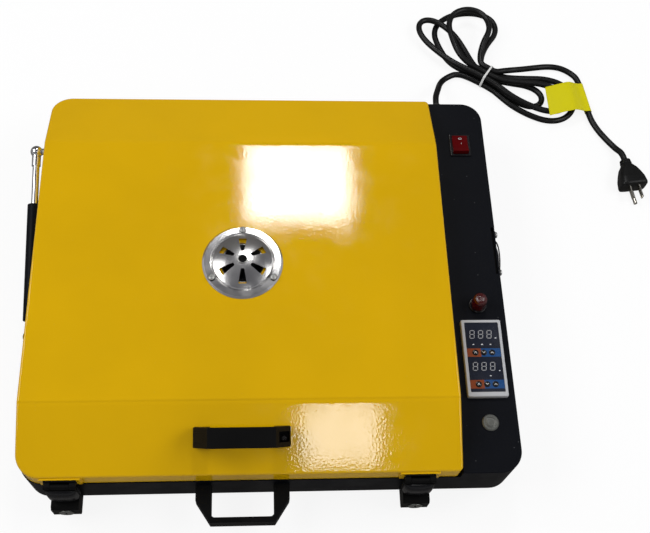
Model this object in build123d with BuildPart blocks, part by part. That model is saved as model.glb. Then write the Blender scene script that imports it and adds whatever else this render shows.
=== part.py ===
from build123d import *
import math
import os

import numpy as np

# Tabletop curing oven for printed transfer film.
# Millimetres. X to the right, Y to the rear, Z up. The origin is on the table,
# under the middle of the oven's outer box, its mains lead left out.

# Case
case_width = 532.0
case_depth = 474.0
corner_radius = 25.0
sheet = 1.5
foot_height = 10.0
foot_radius = 11.0
foot_inset = 40.0
tub_height = 52.0
bay_height = 68.0
bay_width = 66.0
rim_lip = 22.0
edge_round = 1.5

# Lid
lid_gap = 1.0
lid_rise = 1.0
eave_height = 75.0
crown_height = 100.0
front_run = 74.0
rear_run = 80.0
lid_right_round = 5.0
lid_edge_round = 2.5

# Chamber
liner_sheet = 1.0
liner_inset = 30.0
liner_floor = 25.0
flange_margin = 3.0
seal_width = 8.0
seal_height = 3.0
seal_margin = 10.0
ceiling_height = 78.0
settle_gap = 0.3

# Heating
tube_radius = 4.0
tube_height = 33.0
tube_bend = 45.0
tube_offset = 105.0
tube_tail = 8.0
rest_width = 10.0
rack_sheet = 1.5
rack_top = 47.0
rack_margin = 3.0
rack_cells = 9
rack_bar = 4.0
rack_leg = 8.0
probe_radius = 2.0
probe_height = 41.0
probe_reach = 60.0

# Rear hinges
hinge_length = 60.0
hinge_spread = 150.0
hinge_offset = 5.0
knuckle_radius = 4.0
hinge_pin_radius = 2.0
leaf_height = 27.0
leaf_sheet = 1.5
running_gap = 0.05
knuckle_gap = 0.4

# Gas strut on the left wall
strut_offset = 14.5
strut_tube_radius = 8.0
strut_tube_length = 140.0
strut_rod_radius = 4.0
strut_neck = 18.0
strut_neck_radius = 5.2
strut_ball_radius = 7.2
strut_stud_radius = 4.0
strut_bore_depth = 120.0
strut_joint_gap = 0.1
strut_tube_round = 1.2
strut_base_from_front = 183.5
strut_base_height = 9.5
strut_lid_from_rear = 75.0
strut_lid_height = 68.0

# Carrying and lifting handles
handle_length = 100.0
handle_height = 40.0
handle_depth = 21.0
handle_shoulder = 16.0
handle_flat = 69.0
handle_bar = 5.8
handle_opening = 66.4
handle_bar_inset = 1.0
pocket_size = 11.0
pocket_offset = 43.3
pocket_floor = 8.0
cap_gap = 0.15
front_handle_height = 28.0

# Hasps and locks at the front
hasp_from_side = 45.0
hasp_width = 33.0
hasp_sheet = 4.5
hasp_pivot_height = 67.0
hasp_pivot_offset = 6.5
hasp_knuckle_radius = 3.0
hasp_pin_radius = 1.5
hasp_bottom = 32.5
hasp_pad_width = 42.0
hasp_pad_sheet = 2.0
hasp_pad_height = 18.0
hasp_pad_drop = 2.0
hasp_plate_sheet = 1.5
hasp_plate_height = 15.0
hasp_ear = 6.4
hasp_knuckle_gap = 0.4
lock_width = 29.0
lock_depth = 21.5
lock_bottom = 6.0
lock_shelf = 31.0
lock_top = 48.0
lock_back = 4.5
lock_height = 17.5
lock_cylinder_radius = 7.0
lock_face_radius = 8.0
lock_face = 1.0
keyway = (1.8, 8.0, 6.0)

# Vent in the lid
vent_radius = 45.0
vent_dome_radius = 33.0
vent_rise = 8.6
vent_sheet = 0.8
vent_hole_radius = 24.5
vent_slots = 6
vent_slot_inner = 11.0
vent_slot_outer = 28.0
vent_slot_narrow = 3.6
vent_slot_wide = 9.6
shutter_radius = 31.0
shutter_drop = 1.4
rivet_radius = 3.0
rivet_head_radius = 4.5
vent_screw_circle = 39.5

# Control panel
panel_line = 2.0
panel_skirt = 8.0
rocker_bezel = (25.5, 31.0, 2.0)
rocker_cavity = (19.6, 26.2, 15.0)
rocker_body = (21.6, 28.2, 28.0)
rocker_key_size = (19.0, 24.6)
rocker_tilt = 8.0
rocker_from_rear = 63.0
lamp_from_front = 194.0
lamp_ring_radius = 10.0
lamp_ring = 2.5
lamp_lens_radius = 8.3
lamp_lens_height = 20.0
lamp_lens_dome = 6.4
lamp_lens_taper = 0.4
lamp_barrel_radius = 7.8
lamp_barrel = 25.0
controller_size = (45.4, 91.0)
controller_bezel = 6.0
controller_body_size = (42.8, 87.5, 46.0)
controller_from_front = 128.3
face_margins = (3.6, 3.2, 3.4, 5.2)
face_sheet = 1.6
face_recess = 1.0
key_radius = 3.5
key_pitch = 9.4
key_rows = (39.4, 76.6)
key_stand = 0.5
key_length = 2.6
button_from_front = 55.0
button_flange_radius = 9.3
button_flange = 2.2
button_barrel_radius = 7.9
button_barrel = 26.0
button_cap_radius = 6.0
button_cap_length = 7.0
button_cap_stand = 0.4
button_travel = 1.5
key_travel = 0.5

# Cooling fan on the right wall
fan_margin = 4.0
fan_size = bay_height - 2 * fan_margin
fan_thickness = 15.0
fan_from_front = 265.0
fan_height = bay_height / 2
fan_hole_radius = fan_size / 2 - 2
fan_hub_radius = 16.0
fan_blades = 7
fan_blade_radius = fan_hole_radius - 1.5
fan_screw_pitch = fan_size - 10
guard_depth = 5.0
guard_wire = 1.8
guard_rings = [fan_hole_radius - 1 - step for step in (0, 7, 14, 21)]
guard_eye_radius = 5.0

# Relay in the control bay
relay_size = (45.0, 58.0, 28.0)
relay_gap = 6.0
relay_from_front = fan_from_front + fan_size / 2 + relay_gap + relay_size[1] / 2

# Screws
screw_head_radius = 3.6
screw_head = 2.4
screw_radius = 1.8
screw_gap = 0.2
base_screw_length = 14.0
handle_screw_length = 12.0
vent_screw_length = 8.0

# Mains lead
cord_radius = 4.0
gland_from_bay = 20.0
gland_height = 25.0
gland_length = 28.0
gland_flange_radius = 10.0
gland_flange = 3.0
gland_tip_radius = 5.6
waist_from_case = (300.5, 334.0)
waist_angle = -35.0
waist_half = 16.0
hank_exit_turn = 42.0
hank_exit_radius = 18.0
strand_pitch = 8.6
layer_pitch = 9.2
tie_width = 4.0
tie_sheet = 1.2
tie_gap = 0.35
tag_size = (52.0, 46.0)
tag_sheet = 0.8
tag_ramp = (5.0, 24.0)
plug_length = 42.0
plug_width = 36.0
plug_depth = 25.0
plug_neck = 13.0
blade_size = (1.5, 17.5, 6.4)
blade_pitch = 12.7
ground_pin_radius = 2.4
ground_pin_length = 20.0

# The oven's outer box, lead left out, is centred on the origin
left_reach = strut_offset + strut_tube_radius
rear_reach = gland_length
case_x = (left_reach - guard_depth) / 2
case_y = (handle_height - rear_reach) / 2

# Edges and levels that the pieces share
left = case_x - case_width / 2
right = case_x + case_width / 2
front = case_y - case_depth / 2
rear = case_y + case_depth / 2
base_z = foot_height
rim_z = base_z + tub_height
bay_z = base_z + bay_height
bay_left = right - bay_width
partition_right = bay_left + sheet
lid_left = left + lid_gap
lid_right = bay_left - lid_gap
lid_front = front + lid_gap
lid_rear = rear - lid_gap
lid_width = lid_right - lid_left
lid_x = (lid_left + lid_right) / 2
lid_bottom = rim_z + lid_rise
eave_z = base_z + eave_height
crown_z = base_z + crown_height
front_fold = lid_front + front_run
rear_fold = lid_rear - rear_run
crown_y = (front_fold + rear_fold) / 2
front_slope = math.atan2(crown_z - eave_z, front_run)
rear_slope = math.atan2(crown_z - eave_z, rear_run)
tub_y = (front + rear) / 2
liner_left = left + sheet + liner_inset
liner_right = bay_left - liner_inset * 0.8
liner_front = front + sheet + liner_inset
liner_rear = rear - sheet - liner_inset
liner_x = (liner_left + liner_right) / 2
liner_z = base_z + liner_floor
liner_flange_z = rim_z + liner_sheet
seal_z = liner_flange_z + seal_height
lid_liner_z = seal_z + settle_gap
ceiling_z = base_z + ceiling_height
hinge_y = rear + hinge_offset
hinge_z = rim_z + lid_rise / 2
hinge_xs = (lid_x - hinge_spread, lid_x + hinge_spread)
hasp_xs = (lid_left + hasp_from_side, lid_right - hasp_from_side)
strut_x = left - strut_offset
panel_x = (bay_left + right) / 2 + panel_line
panel_z = bay_z
wall_z = bay_z - sheet
gland_x = bay_left + gland_from_bay
gland_z = base_z + gland_height


def outline(x0, x1, y0, y1, z, left_radius=0.0, right_radius=0.0):
    """Flat rectangle at height z, with its left and right corners rounded."""
    with BuildSketch(Plane.XY.offset(z), mode=Mode.PRIVATE) as flat:
        with Locations(((x0 + x1) / 2, (y0 + y1) / 2)):
            Rectangle(x1 - x0, y1 - y0)
        if left_radius > 0:
            fillet(flat.vertices().group_by(Axis.X)[0], left_radius)
        if right_radius > 0:
            fillet(flat.vertices().group_by(Axis.X)[-1], right_radius)
    return flat.sketch


def lid_form(inset, bottom, top_round):
    """Block of the lid's outer shape, every face drawn in by inset, from height bottom up."""
    y0, y1 = lid_front + inset, lid_rear - inset
    crown = crown_z - inset
    front_drop = inset / math.cos(front_slope)
    rear_drop = inset / math.cos(rear_slope)
    fold0 = lid_front + (crown - eave_z + front_drop) / math.tan(front_slope)
    fold1 = lid_rear - (crown - eave_z + rear_drop) / math.tan(rear_slope)
    eave0 = eave_z + inset * math.tan(front_slope) - front_drop
    eave1 = eave_z + inset * math.tan(rear_slope) - rear_drop
    with BuildPart() as form:
        with BuildSketch(Plane.YZ.offset(lid_left + inset)):
            with BuildLine():
                Polyline((y0, bottom), (y0, eave0), (fold0, crown), (fold1, crown), (y1, eave1),
                         (y1, bottom), close=True)
            make_face()
        extrude(amount=lid_width - 2 * inset)
        plan = outline(lid_left + inset, lid_right - inset, y0, y1, bottom,
                       corner_radius - lid_gap - inset, lid_right_round - inset)
        extrude(plan, amount=crown_z, mode=Mode.INTERSECT)
        if top_round > 0:
            roof = form.faces().filter_by(lambda face: face.normal_at().Z > 0.5)
            rim = [edge for edge in roof.edges() if sum(edge in face.edges() for face in roof) == 1]
            fillet(rim, top_round)
    return form.part


def screw(seat, length):
    """Pan-head screw whose head stands on the seat plane and whose shank goes into it."""
    with BuildPart() as made:
        with BuildSketch(seat):
            Circle(screw_head_radius)
        extrude(amount=screw_head)
        top_edges = made.edges().sort_by(lambda edge: (edge.center() - seat.origin).dot(seat.z_dir))
        fillet(top_edges[-1:], screw_head / 3)
        with BuildSketch(seat):
            Circle(screw_radius)
        extrude(amount=-length)
        with BuildSketch(seat.offset(screw_head)):
            Rectangle(screw_head_radius * 1.1, screw_radius / 3)
            Rectangle(screw_radius / 3, screw_head_radius * 1.1)
        extrude(amount=-screw_head / 2, mode=Mode.SUBTRACT)
    return made.part


def handle_ends(seat):
    """Planes at the floors of a handle's two screw pockets."""
    return [Plane(origin=seat.origin + seat.x_dir * side * pocket_offset + seat.z_dir * pocket_floor,
                  x_dir=seat.x_dir, z_dir=seat.z_dir) for side in (-1, 1)]


def handle_side(seat):
    """Plane across a handle's depth, in which its profile is drawn, with local Y away from the seat."""
    return Plane(origin=seat.origin, x_dir=seat.x_dir, z_dir=-seat.y_dir)


def handle_profile():
    """Outer line of a bridge handle: straight legs, slanted shoulders and a flat top."""
    half, flat = handle_length / 2, handle_flat / 2
    Polyline((-half, 0), (-half, handle_shoulder), (-flat, handle_height), (flat, handle_height),
             (half, handle_shoulder), (half, 0), close=True)


def bridge_handle(seat):
    """Moulded bridge handle on its seat plane, with a square screw pocket over each leg."""
    side = handle_side(seat)
    with BuildPart() as made:
        with BuildSketch(side):
            with BuildLine():
                handle_profile()
            make_face()
        extrude(amount=handle_depth / 2, both=True)
        with BuildSketch(side):
            with Locations((0, (handle_height - handle_bar) / 2)):
                Rectangle(handle_opening, handle_height - handle_bar)
        extrude(amount=handle_depth, both=True, mode=Mode.SUBTRACT)
        inner = made.edges().filter_by(lambda edge: abs((edge.center() - seat.origin).dot(seat.z_dir)
                                                        - (handle_height - handle_bar)) < 0.01
                                       and abs(edge.tangent_at(0).dot(seat.y_dir)) > 0.9)
        fillet(inner, handle_bar * 0.7)
        outer = made.edges().filter_by(lambda edge: (edge.center() - seat.origin).dot(seat.z_dir) > handle_shoulder / 4
                                       and abs((edge.center() - seat.origin).dot(seat.y_dir)) > handle_depth / 2 - 0.01)
        fillet(outer, handle_bar_inset)
        for end in handle_ends(seat):
            with BuildSketch(end):
                Rectangle(pocket_size, pocket_size)
            extrude(amount=handle_height, mode=Mode.SUBTRACT)
            with BuildSketch(end):
                Circle(screw_radius + screw_gap)
            extrude(amount=-pocket_floor, mode=Mode.SUBTRACT)
    return made.part


def handle_cap(seat, end):
    """Square plug that fills a handle's screw pocket, cut to the slant of the shoulder."""
    with BuildPart() as made:
        with BuildSketch(handle_side(seat)):
            with BuildLine():
                handle_profile()
            make_face()
        extrude(amount=handle_depth / 2, both=True)
        with BuildSketch(end.offset(screw_head + 1)):
            Rectangle(pocket_size - 2 * cap_gap, pocket_size - 2 * cap_gap)
        extrude(amount=handle_height, mode=Mode.INTERSECT)
    return made.part


# Case shell: floor, walls, high round the control bay and low round the chamber, with a lip at the rim
with BuildPart() as base_shell:
    extrude(outline(left, right, front, rear, base_z, corner_radius, corner_radius), amount=wall_z - base_z)
    fillet(base_shell.edges().group_by(Axis.Z)[0], edge_round)
    extrude(outline(left + sheet, right - sheet, front + sheet, rear - sheet, base_z + sheet,
                    corner_radius - sheet, corner_radius - sheet), amount=bay_height, mode=Mode.SUBTRACT)
    extrude(outline(left - 1, bay_left, front - 1, rear + 1, rim_z), amount=bay_height, mode=Mode.SUBTRACT)
    extrude(outline(left + sheet, bay_left, front + sheet, rear - sheet, rim_z - sheet,
                    corner_radius - sheet),
            amount=sheet)
    extrude(outline(left + sheet + rim_lip, bay_left - rim_lip * 0.8, front + sheet + rim_lip,
                    rear - sheet - rim_lip, rim_z - sheet), amount=sheet, mode=Mode.SUBTRACT)
    fan_seat = Plane(origin=(right, front + fan_from_front, base_z + fan_height),
                     x_dir=(0, 1, 0), z_dir=(1, 0, 0))
    with BuildSketch(fan_seat):
        Circle(fan_hole_radius)
        with GridLocations(fan_screw_pitch, fan_screw_pitch, 2, 2):
            Circle(screw_radius + screw_gap)
    extrude(amount=-sheet * 2, mode=Mode.SUBTRACT)
    gland_seat = Plane(origin=(gland_x, rear, gland_z), x_dir=(-1, 0, 0), z_dir=(0, 1, 0))
    with BuildSketch(gland_seat):
        Circle(gland_tip_radius + 1.5)
    extrude(amount=-sheet * 2, mode=Mode.SUBTRACT)
    front_handle_seat = Plane(origin=(lid_x, front, base_z + front_handle_height),
                              x_dir=(1, 0, 0), z_dir=(0, -1, 0))
    with BuildSketch(front_handle_seat):
        with Locations((-pocket_offset, 0), (pocket_offset, 0)):
            Circle(screw_radius + screw_gap)
    extrude(amount=-sheet * 2, mode=Mode.SUBTRACT)

# Feet
foot_xs = (left + foot_inset, right - foot_inset)
foot_ys = (front + foot_inset, rear - foot_inset)
with BuildPart() as rubber_feet:
    for foot_x in foot_xs:
        for foot_y in foot_ys:
            with Locations((foot_x, foot_y, foot_height / 2)):
                Cone(foot_radius - 1.5, foot_radius, foot_height)

# Wall between the chamber and the control bay
tube_ys = (tub_y - tube_offset, tub_y + tube_offset)
leg_ys = [tube_y + side * tube_bend for tube_y in tube_ys for side in (-1, 1)]
with BuildPart() as bay_partition:
    with Locations((bay_left + sheet / 2, tub_y, (base_z + sheet + wall_z) / 2)):
        Box(sheet, case_depth - 2 * sheet, wall_z - base_z - sheet)
    with BuildSketch(Plane.YZ.offset(bay_left)):
        with Locations(*[(leg_y, base_z + tube_height) for leg_y in leg_ys]):
            Circle(tube_radius + 0.5)
        with Locations((tub_y, base_z + probe_height)):
            Circle(probe_radius + settle_gap)
    extrude(amount=sheet, mode=Mode.SUBTRACT)

# Top of the control bay, which is the control panel
rocker_y = rear - rocker_from_rear
lamp_y = front + lamp_from_front
controller_y = front + controller_from_front
button_y = front + button_from_front
with BuildPart() as control_cover:
    extrude(outline(bay_left, right, front, rear, wall_z, 0, corner_radius), amount=sheet)
    fillet(control_cover.edges().group_by(Axis.Z)[-1], sheet * 0.6)
    skirt_gap = sheet + settle_gap
    extrude(outline(partition_right + settle_gap, right - skirt_gap, front + skirt_gap, rear - skirt_gap,
                    wall_z, 0, corner_radius - skirt_gap), amount=-panel_skirt)
    extrude(outline(partition_right + settle_gap + 1, right - skirt_gap - 1, front + skirt_gap + 1,
                    rear - skirt_gap - 1, wall_z, 0, corner_radius - skirt_gap - 1),
            amount=-panel_skirt, mode=Mode.SUBTRACT)
    with Locations((right - skirt_gap, front + fan_from_front, wall_z)):
        Box(4 * sheet, fan_size + 4 * settle_gap, 2 * panel_skirt + 2 * settle_gap, mode=Mode.SUBTRACT)
    with BuildSketch(Plane.XY.offset(wall_z)):
        with Locations((panel_x, rocker_y)):
            Rectangle(rocker_body[0] + settle_gap, rocker_body[1] + settle_gap)
        with Locations((panel_x, controller_y)):
            Rectangle(controller_body_size[0] + settle_gap, controller_body_size[1] + settle_gap)
        with Locations((panel_x, lamp_y)):
            Circle(lamp_barrel_radius + 0.15)
        with Locations((panel_x, button_y)):
            Circle(button_barrel_radius + 0.15)
    extrude(amount=sheet, mode=Mode.SUBTRACT)

# Heating chamber's pan, with a flange that lies on the rim
with BuildPart() as chamber_liner:
    extrude(outline(left + sheet + flange_margin, bay_left - flange_margin, front + sheet + flange_margin,
                    rear - sheet - flange_margin, rim_z, corner_radius - sheet - flange_margin),
            amount=liner_sheet)
    extrude(outline(liner_left - liner_sheet, liner_right + liner_sheet, liner_front - liner_sheet,
                    liner_rear + liner_sheet, liner_z), amount=rim_z - liner_z)
    extrude(outline(liner_left, liner_right, liner_front, liner_rear, liner_z + liner_sheet),
            amount=bay_height, mode=Mode.SUBTRACT)
    with BuildSketch(Plane.YZ.offset(liner_right)):
        with Locations(*[(leg_y, base_z + tube_height) for leg_y in leg_ys]):
            Circle(tube_radius + 0.5)
        with Locations((tub_y, base_z + probe_height)):
            Circle(probe_radius + settle_gap)
    extrude(amount=liner_sheet, mode=Mode.SUBTRACT)

# Mineral wool round the pan
with BuildPart() as base_insulation:
    pack_gap = sheet + settle_gap
    extrude(outline(left + pack_gap, bay_left - settle_gap, front + pack_gap, rear - pack_gap,
                    base_z + pack_gap, corner_radius - pack_gap), amount=rim_z - base_z - 2 * pack_gap)
    pan_gap = liner_sheet + settle_gap
    extrude(outline(liner_left - pan_gap, liner_right + pan_gap, liner_front - pan_gap, liner_rear + pan_gap,
                    liner_z - settle_gap), amount=bay_height, mode=Mode.SUBTRACT)
    with BuildSketch(Plane.YZ.offset(liner_right)):
        with Locations(*[(leg_y, base_z + tube_height) for leg_y in leg_ys]):
            Circle(tube_radius + 0.5)
        with Locations((tub_y, base_z + probe_height)):
            Circle(probe_radius + settle_gap)
    extrude(amount=liner_inset, mode=Mode.SUBTRACT)
    with BuildSketch(front_handle_seat):
        with Locations((-pocket_offset, 0), (pocket_offset, 0)):
            Circle(screw_radius + 2 * settle_gap)
    extrude(amount=-base_screw_length, mode=Mode.SUBTRACT)

# Two U-shaped heating tubes whose ends reach into the control bay
with BuildPart() as heater_tubes:
    for tube_y in tube_ys:
        start = (partition_right + tube_tail, tube_y - tube_bend, base_z + tube_height)
        turn = (liner_left + tube_bend + 2 * tube_radius, tube_y - tube_bend, base_z + tube_height)
        back = (turn[0], tube_y + tube_bend, turn[2])
        with BuildLine() as tube_path:
            Line(start, turn)
            ThreePointArc(turn, (turn[0] - tube_bend, tube_y, turn[2]), back)
            Line(back, (start[0], back[1], back[2]))
        with BuildSketch(Plane(origin=start, x_dir=(0, 1, 0), z_dir=(-1, 0, 0))):
            Circle(tube_radius)
        sweep(path=tube_path.wires()[0])

# Bars in the pan that carry the tubes
rest_top = base_z + tube_height - tube_radius - 0.1
with BuildPart() as tube_rests:
    for rest_x in (liner_left + tube_bend + 3 * rest_width, liner_right - 3 * rest_width):
        with Locations((rest_x, tub_y, (liner_z + liner_sheet + rest_top) / 2)):
            rest_length = 2 * (tube_offset + tube_bend) + 4 * tube_radius
            Box(rest_width, rest_length, rest_top - liner_z - liner_sheet)

# Holed rack that the film lies on
rack_width = liner_right - liner_left - 2 * rack_margin
rack_depth = liner_rear - liner_front - 2 * rack_margin
rack_z = base_z + rack_top
with BuildPart() as film_rack:
    with BuildSketch(Plane.XY.offset(rack_z - rack_sheet)):
        with Locations((liner_x, tub_y)):
            Rectangle(rack_width, rack_depth)
            cell_x = (rack_width - rack_bar) / rack_cells
            cell_y = (rack_depth - rack_bar) / rack_cells
            with GridLocations(cell_x, cell_y, rack_cells, rack_cells):
                Rectangle(cell_x - rack_bar, cell_y - rack_bar, mode=Mode.SUBTRACT)
    extrude(amount=rack_sheet)
    leg_bottom = liner_z + liner_sheet
    leg_top = rack_z - rack_sheet - running_gap
    with Locations((liner_x, tub_y, (leg_bottom + leg_top) / 2)):
        with GridLocations(rack_width - rack_leg, rack_depth - rack_leg, 2, 2):
            Box(rack_leg, rack_leg, leg_top - leg_bottom)

# Temperature probe between the tubes and the rack
with BuildPart() as temperature_probe:
    probe_start = partition_right + tube_tail
    with BuildSketch(Plane.YZ.offset(liner_right - probe_reach)):
        with Locations((tub_y, base_z + probe_height)):
            Circle(probe_radius)
    extrude(amount=probe_start - liner_right + probe_reach)

# Gasket round the chamber, on the pan's flange
with BuildPart() as chamber_seal:
    seal_edge = sheet + seal_margin
    seal_inner = seal_edge + seal_width
    extrude(outline(left + seal_edge, bay_left - seal_margin * 0.5, front + seal_edge, rear - seal_edge,
                    liner_flange_z, corner_radius - seal_margin), amount=seal_height)
    extrude(outline(left + seal_inner, bay_left - seal_margin * 0.5 - seal_width, front + seal_inner,
                    rear - seal_inner, liner_flange_z, corner_radius - seal_margin - seal_width),
            amount=seal_height, mode=Mode.SUBTRACT)
    fillet(chamber_seal.edges().group_by(Axis.Z)[-1], seal_height / 3)

# Lid: folded sheet with a level crown and a fall to the front and to the rear
lid_outer = lid_form(0.0, lid_bottom, lid_edge_round)
lid_inner = lid_form(sheet, lid_bottom - 1, lid_edge_round - sheet)
front_middle = Vector(lid_x, (lid_front + front_fold) / 2, (eave_z + crown_z) / 2)
slope_out = Vector(0, -math.sin(front_slope), math.cos(front_slope))
lid_handle_seat = Plane(origin=front_middle, x_dir=(1, 0, 0), z_dir=slope_out)
strut_lid_point = Vector(strut_x, rear - strut_lid_from_rear, base_z + strut_lid_height)
strut_base_point = Vector(strut_x, front + strut_base_from_front, base_z + strut_base_height)
with BuildPart() as lid_shell:
    add(lid_outer)
    add(lid_inner, mode=Mode.SUBTRACT)
    hasp_pad_z = eave_z - hasp_pad_drop - hasp_pad_height / 2
    with Locations(*[(hasp_x, lid_front - hasp_pad_sheet / 2, hasp_pad_z) for hasp_x in hasp_xs]):
        Box(hasp_pad_width, hasp_pad_sheet, hasp_pad_height)
    with BuildSketch(Plane.XY.offset(crown_z)):
        with Locations((lid_x, crown_y)):
            Circle(vent_hole_radius)
            with PolarLocations(vent_screw_circle, 3, start_angle=90):
                Circle(screw_radius + screw_gap)
    extrude(amount=-sheet * 2, mode=Mode.SUBTRACT)
    with BuildSketch(lid_handle_seat):
        with Locations((-pocket_offset, 0), (pocket_offset, 0)):
            Circle(screw_radius + screw_gap)
    extrude(amount=-sheet * 2, mode=Mode.SUBTRACT)

# Inner pan of the lid, and the collar from its hole up to the vent
collar_radius = vent_hole_radius - settle_gap
collar_foot = 7.0
collar_overlap = 3.5
with BuildPart() as lid_liner:
    lid_flange = sheet + 0.4
    extrude(outline(lid_left + lid_flange, lid_right - lid_flange, lid_front + lid_flange,
                    lid_rear - lid_flange, lid_liner_z, corner_radius - lid_gap - lid_flange,
                    lid_right_round - lid_flange),
            amount=liner_sheet)
    extrude(outline(liner_left, liner_right, liner_front, liner_rear, lid_liner_z),
            amount=ceiling_z - running_gap - lid_liner_z)
    extrude(outline(liner_left + liner_sheet, liner_right - liner_sheet, liner_front + liner_sheet,
                    liner_rear - liner_sheet, lid_liner_z),
            amount=ceiling_z - lid_liner_z, mode=Mode.SUBTRACT)
    extrude(outline(liner_left, liner_right, liner_front, liner_rear, ceiling_z), amount=liner_sheet)
    with Locations((lid_x, crown_y, crown_z)):
        Cylinder(collar_radius + collar_overlap, crown_height, mode=Mode.SUBTRACT)
with BuildPart() as vent_collar:
    collar_z = ceiling_z + liner_sheet + running_gap
    with BuildSketch(Plane.XY.offset(collar_z)):
        with Locations((lid_x, crown_y)):
            Circle(collar_radius)
    extrude(amount=crown_z - sheet - settle_gap - collar_z)
    with BuildSketch(Plane.XY.offset(collar_z)):
        with Locations((lid_x, crown_y)):
            Circle(collar_radius + collar_foot)
    extrude(amount=liner_sheet)
    with Locations((lid_x, crown_y, crown_z)):
        Cylinder(collar_radius - liner_sheet, crown_height, mode=Mode.SUBTRACT)

# Mineral wool between the lid and its pan
wool_form = lid_form(sheet + settle_gap, lid_liner_z + liner_sheet + settle_gap, 0)
with BuildPart() as lid_insulation:
    add(wool_form)
    wool_gap = settle_gap
    extrude(outline(liner_left - wool_gap, liner_right + wool_gap, liner_front - wool_gap,
                    liner_rear + wool_gap, rim_z),
            amount=ceiling_z + liner_sheet + settle_gap - rim_z, mode=Mode.SUBTRACT)
    with Locations((lid_x, crown_y, crown_z)):
        Cylinder(collar_radius + settle_gap, crown_height, mode=Mode.SUBTRACT)
    with Locations((lid_x, crown_y, ceiling_z + 2 * liner_sheet)):
        Cylinder(collar_radius + collar_foot + settle_gap, 2 * (liner_sheet + settle_gap), mode=Mode.SUBTRACT)
    for hole in handle_ends(lid_handle_seat):
        with BuildSketch(hole.offset(-pocket_floor)):
            Circle(screw_radius + 2 * settle_gap)
        extrude(amount=-2 * pocket_floor, mode=Mode.SUBTRACT)
    with Locations((lid_x, crown_y, crown_z - sheet)):
        with PolarLocations(vent_screw_circle, 3, start_angle=90):
            Cylinder(screw_radius + 2 * settle_gap, 4 * pocket_floor, mode=Mode.SUBTRACT)

# Rear hinges: leaves on the case, leaves on the lid and the pins
knuckle_length = hinge_length / 3
with BuildPart() as hinge_base_leaves:
    for hinge_x in hinge_xs:
        with Locations((hinge_x, rear + leaf_sheet / 2, hinge_z - hinge_offset - leaf_height / 2)):
            Box(hinge_length, leaf_sheet, leaf_height)
        for side in (-1, 1):
            knuckle_x = hinge_x + side * knuckle_length
            with Locations((knuckle_x, rear + leaf_sheet / 2, hinge_z - hinge_offset / 2 - 0.5)):
                Box(knuckle_length - knuckle_gap, leaf_sheet, hinge_offset + 1)
            with BuildSketch(Plane.YZ.offset(knuckle_x - (knuckle_length - knuckle_gap) / 2)):
                with Locations((hinge_y, hinge_z)):
                    Circle(knuckle_radius)
            extrude(amount=knuckle_length - knuckle_gap)
        with BuildSketch(Plane.YZ.offset(hinge_x - hinge_length / 2)):
            with Locations((hinge_y, hinge_z)):
                Circle(hinge_pin_radius + 0.02)
        extrude(amount=hinge_length, mode=Mode.SUBTRACT)
        with BuildSketch(Plane.YZ.offset(hinge_x - hinge_length / 2)):
            with Locations((hinge_y, hinge_z)):
                Circle(hinge_pin_radius)
        extrude(amount=hinge_length)
lid_leaf_bottom = hinge_z + hinge_offset
lid_leaf_top = eave_z - lid_edge_round - 1
with BuildPart() as hinge_lid_leaves:
    for hinge_x in hinge_xs:
        with Locations((hinge_x, lid_rear + leaf_sheet / 2, (lid_leaf_bottom + lid_leaf_top) / 2)):
            Box(hinge_length, leaf_sheet, lid_leaf_top - lid_leaf_bottom)
        with Locations((hinge_x, lid_rear + hinge_offset / 4, (hinge_z + lid_leaf_bottom) / 2 + 0.5)):
            Box(knuckle_length - knuckle_gap, hinge_offset / 2, hinge_offset + 1)
        with BuildSketch(Plane.YZ.offset(hinge_x - (knuckle_length - knuckle_gap) / 2)):
            with Locations((hinge_y, hinge_z)):
                Circle(knuckle_radius)
        extrude(amount=knuckle_length - knuckle_gap)
        with BuildSketch(Plane.YZ.offset(hinge_x - hinge_length / 2)):
            with Locations((hinge_y, hinge_z)):
                Circle(hinge_pin_radius + running_gap)
        extrude(amount=hinge_length, mode=Mode.SUBTRACT)

# Gas strut: ball studs on the case and on the lid, tube and rod on one line
strut_way = (strut_lid_point - strut_base_point).normalized()
strut_length = (strut_lid_point - strut_base_point).length


def strut_plane(distance):
    """Plane across the strut at a distance from its lower joint."""
    return Plane(origin=strut_base_point + strut_way * distance, x_dir=(1, 0, 0), z_dir=strut_way)


def strut_ball(center):
    """Ball end with its poles along X and its seam underneath, away from the neck and the bore."""
    with BuildPart() as made:
        with BuildSketch(Plane(origin=center, x_dir=(1, 0, 0), z_dir=(0, 1, 0))):
            with BuildLine():
                ThreePointArc((-strut_ball_radius, 0), (0, strut_ball_radius), (strut_ball_radius, 0))
                Line((strut_ball_radius, 0), (-strut_ball_radius, 0))
            make_face()
        revolve(axis=Axis(center, (1, 0, 0)))
    return made.part


lower_ball, upper_ball = strut_ball(strut_base_point), strut_ball(strut_lid_point)
with BuildPart() as strut_base_stud:
    with BuildSketch(Plane.YZ.offset(left)):
        with Locations((strut_base_point.Y, strut_base_point.Z)):
            RegularPolygon(strut_stud_radius * 1.6, 6)
    extrude(amount=-4)
    with BuildSketch(Plane.YZ.offset(left)):
        with Locations((strut_base_point.Y, strut_base_point.Z)):
            Circle(strut_stud_radius)
    extrude(amount=-strut_offset - 3)
with BuildPart() as strut_lid_stud:
    with BuildSketch(Plane.YZ.offset(lid_left)):
        with Locations((strut_lid_point.Y, strut_lid_point.Z)):
            RegularPolygon(strut_stud_radius * 1.6, 6)
    extrude(amount=-5)
    with BuildSketch(Plane.YZ.offset(lid_left)):
        with Locations((strut_lid_point.Y, strut_lid_point.Z)):
            Circle(strut_stud_radius)
    extrude(amount=-(lid_left - strut_x - strut_ball_radius + 1 - knuckle_gap))
tube_end = strut_neck + strut_tube_length
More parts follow.
